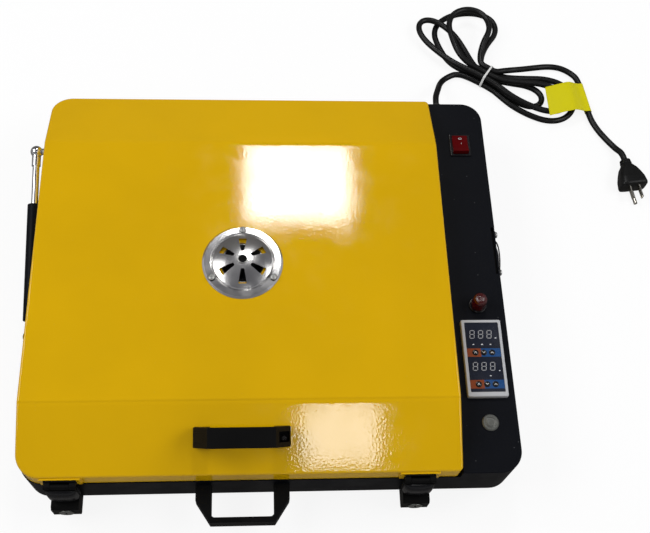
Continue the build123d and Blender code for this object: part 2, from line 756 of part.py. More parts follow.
with BuildPart() as strut_tube:
    add(lower_ball)
    with BuildSketch(strut_plane(0)):
        Circle(strut_neck_radius)
    extrude(amount=strut_neck)
    with BuildSketch(strut_plane(strut_neck)):
        Circle(strut_tube_radius)
    extrude(amount=strut_tube_length)
    fillet(strut_tube.edges().filter_by(GeomType.CIRCLE).filter_by(
        lambda edge: abs(edge.radius - strut_tube_radius) < 0.01), strut_tube_round)
    with BuildSketch(strut_plane(tube_end)):
        Circle(strut_rod_radius + running_gap)
    extrude(amount=-strut_bore_depth, mode=Mode.SUBTRACT)
    with BuildSketch(Plane.YZ.offset(strut_x - strut_ball_radius + 2)):
        with Locations((strut_base_point.Y, strut_base_point.Z)):
            Circle(strut_stud_radius + strut_joint_gap)
    extrude(amount=2 * strut_ball_radius, mode=Mode.SUBTRACT)
rod_neck_start = strut_length - strut_neck
rod_inner_end = tube_end - strut_bore_depth + 4
with BuildPart() as strut_rod:
    add(upper_ball)
    with BuildSketch(strut_plane(rod_neck_start)):
        Circle(strut_neck_radius)
    extrude(amount=strut_neck)
    with BuildSketch(strut_plane(rod_inner_end)):
        Circle(strut_rod_radius)
    extrude(amount=rod_neck_start - rod_inner_end)
    with Locations((strut_x + strut_ball_radius - 1 + 5, strut_lid_point.Y, strut_lid_point.Z)):
        Box(10, 4 * strut_ball_radius, 4 * strut_ball_radius, mode=Mode.SUBTRACT)

# Handles, with one screw pocket on the lid still open
front_handle_part = bridge_handle(front_handle_seat)
lid_handle_part = bridge_handle(lid_handle_seat)
front_cap_parts = [handle_cap(front_handle_seat, end) for end in handle_ends(front_handle_seat)]
lid_cap_part = handle_cap(lid_handle_seat, handle_ends(lid_handle_seat)[0])
with BuildPart() as front_handle:
    add(front_handle_part)
with BuildPart() as lid_handle:
    add(lid_handle_part)
with BuildPart() as front_handle_caps:
    add(front_cap_parts)
with BuildPart() as lid_handle_cap:
    add(lid_cap_part)

# Lock bodies on the case, under the hasps
with BuildPart() as lock_bodies:
    lock_front = front - lock_depth
    lock_z0, lock_z1, lock_z2 = base_z + lock_bottom, base_z + lock_shelf, base_z + lock_top
    for hasp_x in hasp_xs:
        with BuildSketch(Plane.YZ.offset(hasp_x - lock_width / 2)):
            with BuildLine():
                Polyline((front, lock_z0), (lock_front + 2, lock_z0), (lock_front, lock_z0 + 2),
                         (lock_front, lock_z1 - 3), (lock_front + 3, lock_z1), (front - lock_back, lock_z1),
                         (front - lock_back, lock_z2), (front, lock_z2), close=True)
            make_face()
        extrude(amount=lock_width)
        face_plane = Plane(origin=(hasp_x, lock_front, base_z + lock_height),
                           x_dir=(1, 0, 0), z_dir=(0, -1, 0))
        with BuildSketch(face_plane):
            Circle(lock_cylinder_radius + running_gap)
        extrude(amount=-(lock_depth - 3.5), mode=Mode.SUBTRACT)


def lock_cylinder(hasp_x):
    """Lock cylinder with a rimmed face and a keyway, facing the front."""
    face_plane = Plane(origin=(hasp_x, front - lock_depth - settle_gap, base_z + lock_height),
                       x_dir=(1, 0, 0), z_dir=(0, -1, 0))
    with BuildPart() as made:
        with BuildSketch(face_plane):
            Circle(lock_face_radius)
        extrude(amount=lock_face)
        fillet(made.edges().group_by(Axis.Y)[0], lock_face * 0.4)
        with BuildSketch(face_plane):
            Circle(lock_cylinder_radius)
        extrude(amount=-(lock_depth - 4))
        with BuildSketch(face_plane.offset(lock_face)):
            SlotOverall(keyway[1], keyway[0], rotation=90)
        extrude(amount=-keyway[2], mode=Mode.SUBTRACT)
    return made.part


hasp_knuckle = hasp_width - 2 * (hasp_ear + hasp_knuckle_gap + 0.1)


def hasp(hasp_x):
    """Hasp that hangs from its pin on the lid over the lock body."""
    pivot = (front - hasp_pivot_offset, base_z + hasp_pivot_height)
    inner = front - lock_back - 0.7
    with BuildPart() as made:
        with BuildSketch(Plane.YZ.offset(hasp_x - hasp_width / 2)):
            with BuildLine():
                Polyline((inner, base_z + hasp_bottom), (inner - hasp_sheet, base_z + hasp_bottom + 1.5),
                         (inner - hasp_sheet, pivot[1] - hasp_knuckle_radius - 0.6),
                         (inner, pivot[1] - hasp_knuckle_radius - 0.6), close=True)
            make_face()
        extrude(amount=hasp_width)
        with BuildSketch(Plane.YZ.offset(hasp_x - hasp_knuckle / 2)):
            with Locations(pivot):
                Circle(hasp_knuckle_radius)
            with Locations((pivot[0], pivot[1] - hasp_knuckle_radius)):
                Rectangle(2 * hasp_knuckle_radius - 3.4, 2 * hasp_knuckle_radius)
        extrude(amount=hasp_knuckle)
        fillet(made.edges().filter_by(Axis.Z).group_by(Axis.Y)[0], 1.5)
        with BuildSketch(Plane.YZ.offset(hasp_x - hasp_width / 2)):
            with Locations(pivot):
                Circle(hasp_pin_radius + running_gap)
        extrude(amount=hasp_width, mode=Mode.SUBTRACT)
    return made.part


left_lock_part, right_lock_part = [lock_cylinder(hasp_x) for hasp_x in hasp_xs]
left_hasp_part, right_hasp_part = [hasp(hasp_x) for hasp_x in hasp_xs]
with BuildPart() as left_lock_cylinder:
    add(left_lock_part)
with BuildPart() as right_lock_cylinder:
    add(right_lock_part)
with BuildPart() as left_hasp:
    add(left_hasp_part)
with BuildPart() as right_hasp:
    add(right_hasp_part)

# Hinge plates of the hasps, on pads on the lid's front flange
with BuildPart() as hasp_mounts:
    plate_face = lid_front - hasp_pad_sheet - hasp_plate_sheet
    pivot_y, pivot_z = front - hasp_pivot_offset, base_z + hasp_pivot_height
    for hasp_x in hasp_xs:
        with Locations((hasp_x, plate_face + hasp_plate_sheet / 2, hasp_pad_z + 0.5)):
            Box(hasp_width, hasp_plate_sheet, hasp_plate_height)
        for side in (-1, 1):
            ear_x = hasp_x + side * (hasp_width - hasp_ear - 0.2) / 2
            with Locations((ear_x, (plate_face + pivot_y) / 2, pivot_z)):
                Box(hasp_ear, plate_face - pivot_y, 2 * hasp_knuckle_radius)
            with BuildSketch(Plane.YZ.offset(ear_x - hasp_ear / 2)):
                with Locations((pivot_y, pivot_z)):
                    Circle(hasp_knuckle_radius)
            extrude(amount=hasp_ear)
        pin_length = hasp_knuckle + hasp_ear - 1.6
        with BuildSketch(Plane.YZ.offset(hasp_x - pin_length / 2)):
            with Locations((pivot_y, pivot_z)):
                Circle(hasp_pin_radius)
        extrude(amount=pin_length)

# Vent: a stamped cover on the lid, and under it a shutter with the same slots
slot_turns = [90 + 360 * step / vent_slots for step in range(vent_slots)]


def dome_line(drop, rim):
    """Half profile of a dome sheet, drop below the cover's dome, out to radius rim."""
    top = crown_z + vent_rise - drop
    edge = crown_z + 2.6 - drop
    middle = (rim * 0.62, top - (top - edge) * 0.36)
    lower = vent_sheet
    outer_arc = ThreePointArc((rim, edge), middle, (0, top))
    drop_line = Line(outer_arc @ 1, (0, top - lower))
    inner_arc = ThreePointArc(drop_line @ 1, (middle[0], middle[1] - lower), (rim, edge - lower))
    Line(inner_arc @ 1, outer_arc @ 0)


def vent_slot_sketch():
    """One tapered slot, pointing along local X."""
    with BuildSketch(mode=Mode.PRIVATE) as slot:
        with BuildLine():
            Polyline((vent_slot_inner, -vent_slot_narrow / 2), (vent_slot_outer, -vent_slot_wide / 2),
                     (vent_slot_outer, vent_slot_wide / 2), (vent_slot_inner, vent_slot_narrow / 2),
                     close=True)
        make_face()
        fillet(slot.vertices(), 1.2)
    return slot.sketch


vent_plane = Plane(origin=(lid_x, crown_y, 0), x_dir=(1, 0, 0), z_dir=(0, -1, 0))
vent_axis = Axis((lid_x, crown_y, 0), (0, 0, 1))
slot_face = vent_slot_sketch()
with BuildPart() as vent_cover:
    with BuildSketch(vent_plane):
        with BuildLine():
            dome_line(0, vent_dome_radius)
        make_face()
        with BuildLine():
            Polyline((vent_dome_radius - 0.1, crown_z + 1.8), (vent_dome_radius - 0.1, crown_z + 2.6),
                     (vent_dome_radius + 1.6, crown_z + 1.0), (vent_dome_radius + 3.4, crown_z + 2.8),
                     (vent_radius - 2.2, crown_z + 2.4), (vent_radius, crown_z + 0.6),
                     (vent_radius, crown_z),
                     (vent_radius - 1, crown_z), (vent_radius - 2.8, crown_z + 1.6),
                     (vent_dome_radius + 3.4, crown_z + 2.0), (vent_dome_radius + 2.0, crown_z + 0.1),
                     (vent_dome_radius + 1.2, crown_z + 0.1), close=True)
        make_face()
    revolve(axis=vent_axis)
    for slot_turn in slot_turns:
        with BuildSketch(Plane.XY.offset(crown_z)):
            with Locations(Location((lid_x, crown_y), slot_turn)):
                add(slot_face)
        extrude(amount=vent_rise * 2, mode=Mode.SUBTRACT)
    with Locations((lid_x, crown_y, crown_z + vent_rise)):
        Cylinder(rivet_radius + running_gap, 4 * vent_sheet, mode=Mode.SUBTRACT)
    with Locations((lid_x, crown_y, crown_z + 1)):
        with PolarLocations(vent_screw_circle, 3, start_angle=90):
            Cylinder(screw_radius + screw_gap, 8, mode=Mode.SUBTRACT)
rivet_top = crown_z + vent_rise + settle_gap
with BuildPart() as vent_shutter:
    with BuildSketch(vent_plane):
        with BuildLine():
            dome_line(shutter_drop, shutter_radius)
        make_face()
    revolve(axis=vent_axis)
    for slot_turn in slot_turns:
        with BuildSketch(Plane.XY.offset(crown_z - 1)):
            with Locations(Location((lid_x, crown_y), slot_turn)):
                add(slot_face)
        extrude(amount=vent_rise * 2, mode=Mode.SUBTRACT)
    with BuildSketch(Plane.XY.offset(rivet_top - 4)):
        with Locations((lid_x, crown_y)):
            Circle(rivet_radius)
    extrude(amount=4.5)
    with BuildSketch(Plane.XY.offset(rivet_top)):
        with Locations((lid_x, crown_y)):
            Circle(rivet_head_radius)
    extrude(amount=1.4)
    fillet(vent_shutter.edges().group_by(Axis.Z)[-1], 0.8)

# Rocker switch
rocker_pivot = Vector(panel_x, rocker_y, panel_z + 0.5)
with BuildPart() as rocker_housing:
    with Locations((panel_x, rocker_y, panel_z + rocker_bezel[2] / 2)):
        Box(*rocker_bezel)
    fillet(rocker_housing.edges().group_by(Axis.Z)[-1], 0.8)
    with Locations((panel_x, rocker_y, panel_z - rocker_body[2] / 2)):
        Box(*rocker_body)
    with Locations((panel_x, rocker_y, panel_z + rocker_bezel[2] - rocker_cavity[2] / 2)):
        Box(*rocker_cavity, mode=Mode.SUBTRACT)
    with BuildSketch(Plane.YZ.offset(panel_x - rocker_cavity[0] / 2 - 0.8)):
        with Locations((rocker_pivot.Y, rocker_pivot.Z)):
            Circle(1.2 + running_gap)
    extrude(amount=rocker_cavity[0] + 1.6, mode=Mode.SUBTRACT)
tilt = math.radians(-rocker_tilt)
key_half = rocker_key_size[1] / 2
key_plane = Plane(origin=rocker_pivot, x_dir=(0, math.cos(tilt), math.sin(tilt)), z_dir=(1, 0, 0))
with BuildPart() as rocker_key:
    with BuildSketch(key_plane):
        with BuildLine():
            ThreePointArc((-key_half, 5), (0, 3.2), (key_half, 5))
            Polyline((key_half, 5), (key_half - 0.8, -4), (3, -8), (-3, -8), (-key_half + 0.8, -4), (-key_half, 5))
        make_face()
    extrude(amount=rocker_key_size[0] / 2, both=True)
    fillet(rocker_key.edges().filter_by(lambda edge: (edge.center() - rocker_pivot).Z > 3), 0.5)
    with BuildSketch(key_plane):
        Circle(1.2)
    extrude(amount=rocker_cavity[0] / 2 + 0.6, both=True)

# Pilot lamp
with BuildPart() as lamp_body:
    with Locations((panel_x, lamp_y, panel_z + lamp_ring / 2)):
        Cylinder(lamp_ring_radius, lamp_ring)
    fillet(lamp_body.edges().group_by(Axis.Z)[-1], 0.8)
    with Locations((panel_x, lamp_y, panel_z - lamp_barrel / 2)):
        Cylinder(lamp_barrel_radius, lamp_barrel)
with BuildPart() as lamp_lens:
    lens_base = panel_z + lamp_ring
    with BuildSketch(Plane(origin=(panel_x, lamp_y, lens_base), x_dir=(1, 0, 0), z_dir=(0, -1, 0))):
        with BuildLine():
            dome_edge = lamp_lens_radius - lamp_lens_taper
            ball = (dome_edge ** 2 + lamp_lens_dome ** 2) / (2 * lamp_lens_dome)
            half_turn = math.asin(dome_edge / ball) / 2
            Polyline((0, lamp_lens_height), (0, 0), (lamp_lens_radius, 0),
                     (dome_edge, lamp_lens_height - lamp_lens_dome))
            ThreePointArc((dome_edge, lamp_lens_height - lamp_lens_dome),
                          (ball * math.sin(half_turn), lamp_lens_height - ball + ball * math.cos(half_turn)),
                          (0, lamp_lens_height))
        make_face()
    revolve(axis=Axis((panel_x, lamp_y, 0), (0, 0, 1)))

# Temperature and time controller
controller_top = panel_z + controller_bezel
face_x0 = panel_x - controller_size[0] / 2 + face_margins[0]
face_x1 = panel_x + controller_size[0] / 2 - face_margins[1]
face_y1 = controller_y + controller_size[1] / 2 - face_margins[2]
face_y0 = controller_y - controller_size[1] / 2 + face_margins[3]
face_z = controller_top - face_recess
key_names = ("set", "down", "up")
key_spots = [(panel_x + (column - 1) * key_pitch, controller_y + controller_size[1] / 2 - row)
             for row in key_rows for column in range(3)]
with BuildPart() as controller_body:
    extrude(outline(panel_x - controller_size[0] / 2, panel_x + controller_size[0] / 2,
                    controller_y - controller_size[1] / 2, controller_y + controller_size[1] / 2,
                    panel_z, 2.0, 2.0), amount=controller_bezel)
    fillet(controller_body.edges().group_by(Axis.Z)[-1], 1.2)
    with Locations((panel_x, controller_y, panel_z - controller_body_size[2] / 2)):
        Box(*controller_body_size)
    extrude(outline(face_x0, face_x1, face_y0, face_y1, face_z - face_sheet, 1.0, 1.0),
            amount=face_sheet + face_recess, mode=Mode.SUBTRACT)
    with Locations(*[(x, y, face_z - face_sheet) for x, y in key_spots]):
        Cylinder(key_radius + 0.4, 2 * (key_length - key_stand + key_travel + settle_gap - face_sheet),
                 mode=Mode.SUBTRACT)
with BuildPart() as controller_face:
    extrude(outline(face_x0 + 0.1, face_x1 - 0.1, face_y0 + 0.1, face_y1 - 0.1, face_z - face_sheet,
                    1.0, 1.0),
            amount=face_sheet)
    with Locations(*[(x, y, face_z) for x, y in key_spots]):
        Cylinder(key_radius + 0.1, 4 * face_sheet, mode=Mode.SUBTRACT)
controller_keys = {}
for spot, (key_x, key_y) in enumerate(key_spots):
    key_label = ("temperature_", "time_")[spot // 3] + key_names[spot % 3] + "_key"
    with BuildPart() as controller_key:
        with Locations((key_x, key_y, face_z + key_stand - key_length / 2)):
            Cylinder(key_radius, key_length)
        fillet(controller_key.edges().group_by(Axis.Z)[-1], 0.3)
    controller_keys[key_label] = controller_key

# Push button
with BuildPart() as push_button_body:
    with Locations((panel_x, button_y, panel_z + button_flange / 2)):
        Cylinder(button_flange_radius, button_flange)
    chamfer(push_button_body.edges().group_by(Axis.Z)[-1], 1.2)
    with Locations((panel_x, button_y, panel_z - button_barrel / 2)):
        Cylinder(button_barrel_radius, button_barrel)
    bore_depth = button_cap_length + button_travel + 1
    with Locations((panel_x, button_y, panel_z + button_flange - bore_depth / 2)):
        Cylinder(button_cap_radius + running_gap, bore_depth, mode=Mode.SUBTRACT)
with BuildPart() as push_button_cap:
    cap_top = panel_z + button_flange + button_cap_stand
    with Locations((panel_x, button_y, cap_top - button_cap_length / 2)):
        Cylinder(button_cap_radius, button_cap_length)
    fillet(push_button_cap.edges().group_by(Axis.Z)[-1], 0.5)

# Cooling fan inside the right wall, its rotor and the wire guard outside
fan_plane = Plane(origin=(right - sheet, fan_seat.origin.Y, fan_seat.origin.Z), x_dir=(0, 1, 0), z_dir=(-1, 0, 0))
hub_back = fan_thickness - 3
with BuildPart() as fan_frame:
    with BuildSketch(fan_plane):
        RectangleRounded(fan_size, fan_size, 4)
        Circle(fan_hole_radius + 0.5, mode=Mode.SUBTRACT)
        with GridLocations(fan_screw_pitch, fan_screw_pitch, 2, 2):
            Circle(screw_radius + screw_gap, mode=Mode.SUBTRACT)
    extrude(amount=fan_thickness)
    with BuildSketch(fan_plane.offset(hub_back)):
        Circle(fan_hub_radius)
        with PolarLocations(0, 4, start_angle=45):
            with Locations((fan_hole_radius / 2 + 1, 0)):
                Rectangle(fan_hole_radius + 2, 3)
    extrude(amount=3)
    with BuildSketch(fan_plane.offset(4)):
        Circle(1.5)
    extrude(amount=hub_back - 3)
with BuildPart() as fan_rotor:
    with BuildSketch(fan_plane.offset(1.5)):
        Circle(fan_hub_radius)
    extrude(amount=hub_back - 2.5)
    for blade in range(fan_blades):
        turn = 360 * blade / fan_blades
        radial = Vector(0, math.cos(math.radians(turn)), math.sin(math.radians(turn)))
        around = Vector(0, -math.sin(math.radians(turn)), math.cos(math.radians(turn)))
        lean = (around + Vector(-0.8, 0, 0)).normalized()
        blade_plane = Plane(origin=fan_plane.origin + Vector(-(hub_back + 0.5) / 2, 0, 0), x_dir=radial,
                            z_dir=radial.cross(lean))
        with BuildSketch(blade_plane):
            with Locations(((fan_hub_radius + fan_blade_radius) / 2 - 1, 0)):
                Rectangle(fan_blade_radius - fan_hub_radius + 2, 11)
        extrude(amount=0.6, both=True)
    with BuildSketch(fan_plane.offset(3)):
        Circle(1.5 + running_gap)
    extrude(amount=fan_thickness, mode=Mode.SUBTRACT)
with BuildPart() as fan_guard:
    with BuildSketch(fan_seat):
        with GridLocations(fan_screw_pitch, fan_screw_pitch, 2, 2):
            Circle(guard_eye_radius)
            Circle(screw_radius + screw_gap, mode=Mode.SUBTRACT)
    extrude(amount=guard_depth - guard_wire - 1)
    guard_bar = fan_screw_pitch * math.sqrt(0.5) - screw_head_radius - settle_gap
    with BuildSketch(fan_seat.offset(guard_depth - 2 * guard_wire)):
        with PolarLocations(0, 4, start_angle=45):
            with Locations((guard_bar / 2, 0)):
                Rectangle(guard_bar, guard_wire)
    extrude(amount=guard_wire)
    with BuildSketch(fan_seat.offset(guard_depth - guard_wire - 0.3)):
        for ring in guard_rings:
            Circle(ring)
            Circle(ring - guard_wire, mode=Mode.SUBTRACT)
    extrude(amount=guard_wire + 0.3)

# Solid-state relay on the floor of the control bay
with BuildPart() as heater_relay:
    with Locations(((partition_right + right - sheet) / 2, front + relay_from_front,
                    base_z + sheet + relay_size[2] / 2)):
        Box(*relay_size)
    fillet(heater_relay.edges().filter_by(Axis.Z), 2)

# Screws on the case and on the lid
guard_face = fan_seat.offset(guard_depth - guard_wire - 1)
base_screw_seats = [Plane(origin=guard_face.from_local_coords((x, z, 0)), x_dir=(0, 1, 0), z_dir=(1, 0, 0))
                    for x in (-fan_screw_pitch / 2, fan_screw_pitch / 2)
                    for z in (-fan_screw_pitch / 2, fan_screw_pitch / 2)]
base_screw_seats += handle_ends(front_handle_seat)
lid_screw_seats = handle_ends(lid_handle_seat)
lid_screw_seats += [Plane(origin=(lid_x + vent_screw_circle * math.cos(math.radians(turn)),
                                  crown_y + vent_screw_circle * math.sin(math.radians(turn)), crown_z + 2.9))
                    for turn in (90, 210, 330)]
base_screw_parts = [screw(seat, base_screw_length) for seat in base_screw_seats]
lid_screw_parts = [screw(seat, handle_screw_length) for seat in lid_screw_seats[:2]]
lid_screw_parts += [screw(seat, vent_screw_length) for seat in lid_screw_seats[2:]]
with BuildPart() as base_screws:
    add(base_screw_parts)
with BuildPart() as lid_screws:
    add(lid_screw_parts)

# Strain relief in the rear wall
gland_tip = Vector(gland_x, rear + gland_length, gland_z)
with BuildPart() as cord_gland:
    with BuildSketch(Plane(origin=(gland_x, rear, gland_z), x_dir=(1, 0, 0), z_dir=(0, 0, 1))):
        with BuildLine():
            Polyline((0, -8), (gland_tip_radius + 1.2, -8), (gland_tip_radius + 1.2, 0), (gland_flange_radius, 0),
                     (gland_flange_radius, gland_flange), (gland_tip_radius + 2.4, gland_flange + 1),
                     (gland_tip_radius, gland_length), (0, gland_length), close=True)
        make_face()
    revolve(axis=Axis((gland_x, 0, gland_z), (0, 1, 0)))

# The lead's hank, in a frame of its own: along and across the tied waist, over the table
waist = Vector(case_x + waist_from_case[0], case_y + waist_from_case[1], 0)
along = Vector(math.cos(math.radians(waist_angle)), math.sin(math.radians(waist_angle)), 0)
across = Vector(-along.Y, along.X, 0)
waist_lift = tie_sheet + tie_gap
# Each loop: side of the waist, first and last strand place, first and last layer, layer of its
# far end, reach, width and lean. Strands are counted across the waist in strand pitches.
hank_loops = [
    (1, -1.5, 1.5, 0, 0, 0, 126.0, 70.0, 10.0),
    (-1, 1.5, -0.5, 0, 0, 0, 111.0, 76.0, 37.0),
    (1, -0.5, 0.5, 0, 0, 0, 81.0, 26.0, 5.0),
    (-1, 0.5, -1.0, 0, 1, 1, 123.0, 33.0, 13.0),
    (1, -1.0, 0.0, 1, 1, 1, 116.0, 44.0, 10.0),
    (-1, 0.0, 1.0, 1, 1, 2, 114.0, 46.0, 40.0),
]


def hank_knots():
    """Points and headings of the hank: at each quarter turn of a loop, and each side of the waist."""
    knots = [(Vector(-waist_half - 2 * cord_radius, hank_loops[0][1] * strand_pitch,
                     cord_radius + waist_lift), Vector(1, 0, 0))]
    for side, first, last, low, high, far, reach, width, lean in hank_loops:
        turn = math.radians(lean)
        axis = Vector(side * math.cos(turn), math.sin(turn), 0)
        wide = Vector(-side * math.sin(turn), math.cos(turn), 0)
        swing = math.copysign(width / 2, first - last)
        station = reach - width / 2
        far_z = cord_radius + far * layer_pitch
        lift = Vector(0, 0, far_z)
        start = Vector(side * waist_half, first * strand_pitch, cord_radius + waist_lift + low * layer_pitch)
        end = Vector(side * waist_half, last * strand_pitch, cord_radius + waist_lift + high * layer_pitch)
        knots.append((start, Vector(side, 0, 0)))
        knots.append((axis * station + wide * swing + lift, axis))
        knots.append((axis * reach + lift, wide * -math.copysign(1, swing)))
        knots.append((axis * station - wide * swing + lift, axis * -1))
        knots.append((end, Vector(-side, 0, 0)))
    leaving = Vector(0, knots[-1][0].Y, knots[-1][0].Z)
    turn = math.radians(hank_exit_turn)
    heading = Vector(math.cos(turn), math.sin(turn), 0)
    turned = leaving + Vector(math.sin(turn), 1 - math.cos(turn), 0) * hank_exit_radius
    knots += [(leaving, Vector(1, 0, 0)), (turned, heading), (turned + heading * 2 * cord_radius, heading)]
    return [(waist + along * point.X + across * point.Y + Vector(0, 0, point.Z),
             along * heading.X + across * heading.Y) for point, heading in knots]


def biarc(point0, heading0, point1, heading1):
    """The middle point of the two arcs that join two points with given headings."""
    chord = point1 - point0
    both = heading0 + heading1
    spread = 2 * (1 - heading0.dot(heading1))
    reach = chord.dot(both)
    if spread < 1e-9:
        tangent_length = chord.dot(chord) / (4 * chord.dot(heading1))
    else:
        tangent_length = (math.sqrt(reach * reach + spread * chord.dot(chord)) - reach) / spread
    corner0 = point0 + heading0 * tangent_length
    corner1 = point1 - heading1 * tangent_length
    return corner0, (corner0 + corner1) * 0.5, corner1


def arc_through(start, corner, end):
    """Arc from start to end whose end tangents meet at the corner: a point half way along it."""
    middle = (start + end) * 0.5
    half = (end - start).length / 2
    tangent_length = (corner - start).length
    height = (corner - middle).length
    if height < 1e-4:
        return None
    return middle + (corner - middle).normalized() * (half * (tangent_length - half) / height)


def hank_arcs(knots):
    """The hank's path as a list of (start, middle or None, end), None where it runs straight."""
    pieces = []
    for (point0, heading0), (point1, heading1) in zip(knots, knots[1:]):
        corner0, join, corner1 = biarc(point0, heading0, point1, heading1)
        straight = heading0.cross(point1 - point0).length < 1e-6
        if (corner0 - (point0 + point1) * 0.5).length < 1e-4 or straight:
            pieces.append((point0, None, point1))
            continue
        pieces.append((point0, arc_through(point0, corner0, join), join))
        pieces.append((join, arc_through(join, corner1, point1), point1))
    return pieces


def curve_radius(start, middle, end):
    """Radius of the circle through three points."""
    side_a, side_b, side_c = (middle - start).length, (end - middle).length, (end - start).length
    area = (middle - start).cross(end - start).length / 2
    return side_a * side_b * side_c / (4 * area)


hank_points = hank_knots()
hank_path = hank_arcs(hank_points)


def along_hank(step):
    """Points along the hank's path, about a step apart."""
    points = []
    for start, middle, end in hank_path:
        if middle is None:
            piece = Line(start, end, mode=Mode.PRIVATE)
        else:
            piece = ThreePointArc(start, middle, end, mode=Mode.PRIVATE)
        count = max(1, round(piece.length / step))
        points += [tuple(piece @ (number / count)) for number in range(count)]
    return np.array(points)


def least_gap(points, step):
    """Least distance between the surfaces of strands that are not next to each other on the path."""
    apart = np.linalg.norm(points[:, None] - points[None], axis=2)
    near = round(math.pi * 2 * cord_radius / step)
    row, column = np.indices(apart.shape)
    apart[abs(row - column) <= near] = np.inf
    return apart.min() - 2 * cord_radius


hank_step = 2.0
hank_samples = along_hank(hank_step)
print("Least gap of the hank to itself", round(float(least_gap(hank_samples, hank_step)), 2))
bends = [curve_radius(*piece) for piece in hank_path if piece[1] is not None]
print("Least radius of the hank", round(min(bends), 1))
with BuildPart() as cord_hank:
    with BuildLine() as hank_line:
        for start, middle, end in hank_path:
            if middle is None:
                Line(start, end)
            else:
                ThreePointArc(start, middle, end)
    with BuildSketch(Plane(origin=hank_points[0][0], z_dir=hank_points[0][1])):
        Circle(cord_radius)
    sweep(path=hank_line.wires()[0])

# Free stretches of the lead, chosen by hand: from the gland to the hank, and from the hank to the plug
hank_in, (hank_out, hank_way) = hank_points[0][0], hank_points[-1]
table = cord_radius
tag_lift = table + tie_gap + tag_sheet


def lead_point(x, y, z):
    """Point of the lead, measured from the middle of the case in plan."""
    return Vector(case_x + x, case_y + y, z)


lead_in_points = [gland_tip, gland_tip + Vector(0, 12, 0), lead_point(223.2, 290.5, 28.5),
                  lead_point(227.4, 304, 19), lead_point(232, 318.5, 9.5), lead_point(237.3, 333.5, 5.55),
                  lead_point(247.5, 345, 5.55), hank_in - along * 14.5, hank_in]
plug_way = Vector(0.12, -1, 0).normalized()
plug_start = lead_point(470.8, 196.0, plug_depth / 2)
lead_out_points = [hank_out, hank_out + hank_way * 11, lead_point(350, 344.0, 11.5),
                   lead_point(370, 351.0, 6.0), lead_point(390, 355.0, table),
                   lead_point(407, 353.0, table), lead_point(421, 344.5, table),
                   lead_point(430.7, 331, tag_lift), lead_point(435.9, 272.3, tag_lift),
                   lead_point(443, 252, table), lead_point(452.5, 235.5, table),
                   lead_point(463.5, 220.0, 7.5),
                   plug_start - plug_way * 11, plug_start]


def run_radii(points):
    """Largest fillet at each corner: 0.45 of the shorter run over the tangent of half the turn."""
    radii = []
    for before, corner, after in zip(points, points[1:], points[2:]):
        turn = (corner - before).get_angle(after - corner)
        shorter = min((corner - before).length, (after - corner).length)
        radii.append(0.45 * shorter / math.tan(math.radians(turn) / 2))
    return radii


for points in (lead_in_points, lead_out_points):
    print("Radii of the free lead", [round(radius, 1) for radius in run_radii(points)])
with BuildPart() as power_cord:
    for points in (lead_in_points, lead_out_points):
        with BuildLine() as lead_line:
            FilletPolyline(*points, radius=run_radii(points))
        with BuildSketch(Plane(origin=points[0], z_dir=(points[1] - points[0]).normalized())):
            Circle(cord_radius)
        sweep(path=lead_line.wires()[0])

# Tie round the waist: its line hugs the strands, four below and three on them
tie_plane = Plane(origin=waist - along * (tie_width / 2), x_dir=across, z_dir=along)
low_z = cord_radius + waist_lift
high_z = low_z + layer_pitch
with BuildPart() as cord_tie:
    with BuildSketch(tie_plane):
        with BuildLine():
            low_half, high_half = 1.5 * strand_pitch, strand_pitch
            Polyline((-low_half, low_z), (low_half, low_z), (high_half, high_z), (-high_half, high_z), close=True)
        make_face()
        offset(amount=cord_radius + tie_gap + tie_sheet)
        with BuildLine():
            Polyline((-low_half, low_z), (low_half, low_z), (high_half, high_z), (-high_half, high_z), close=True)
        with BuildSketch(mode=Mode.SUBTRACT):
            with BuildLine():
                Polyline((-low_half, low_z), (low_half, low_z), (high_half, high_z), (-high_half, high_z), close=True)
            make_face()
            offset(amount=cord_radius + tie_gap)
    extrude(amount=tie_width)
    with BuildSketch(tie_plane.offset(-0.5)):
        with Locations((high_half * 0.2, high_z + cord_radius + tie_gap + 2.4)):
            RectangleRounded(6.5, 4.4, 1)
    extrude(amount=tie_width + 1)

# Flag label wrapped round the straight stretch before the plug, lying over the hank's large loops
tag_start, tag_end = lead_out_points[7], lead_out_points[8]
tag_way = (tag_end - tag_start).normalized()
tag_plane = Plane(origin=(tag_start + tag_end) * 0.5 + tag_way * (tag_size[1] / 2),
                  x_dir=tag_way.cross(Vector(0, 0, 1)), z_dir=tag_way * -1)
with BuildPart() as cord_tag:
    with BuildSketch(tag_plane):
        Circle(cord_radius + tie_gap + tag_sheet)
        with BuildLine():
            level = cord_radius + tie_gap
            raised = cord_radius + 2 * layer_pitch - tag_lift + tie_gap
            Polyline((0, level), (tag_ramp[0], level), (tag_ramp[1], raised), (tag_size[0], raised),
                     (tag_size[0], raised + tag_sheet), (tag_ramp[1] - tag_sheet / 3, raised + tag_sheet),
                     (tag_ramp[0] - tag_sheet / 3, level + tag_sheet), (0, level + tag_sheet), close=True)
        make_face()
        Circle(cord_radius + tie_gap, mode=Mode.SUBTRACT)
    extrude(amount=tag_size[1])

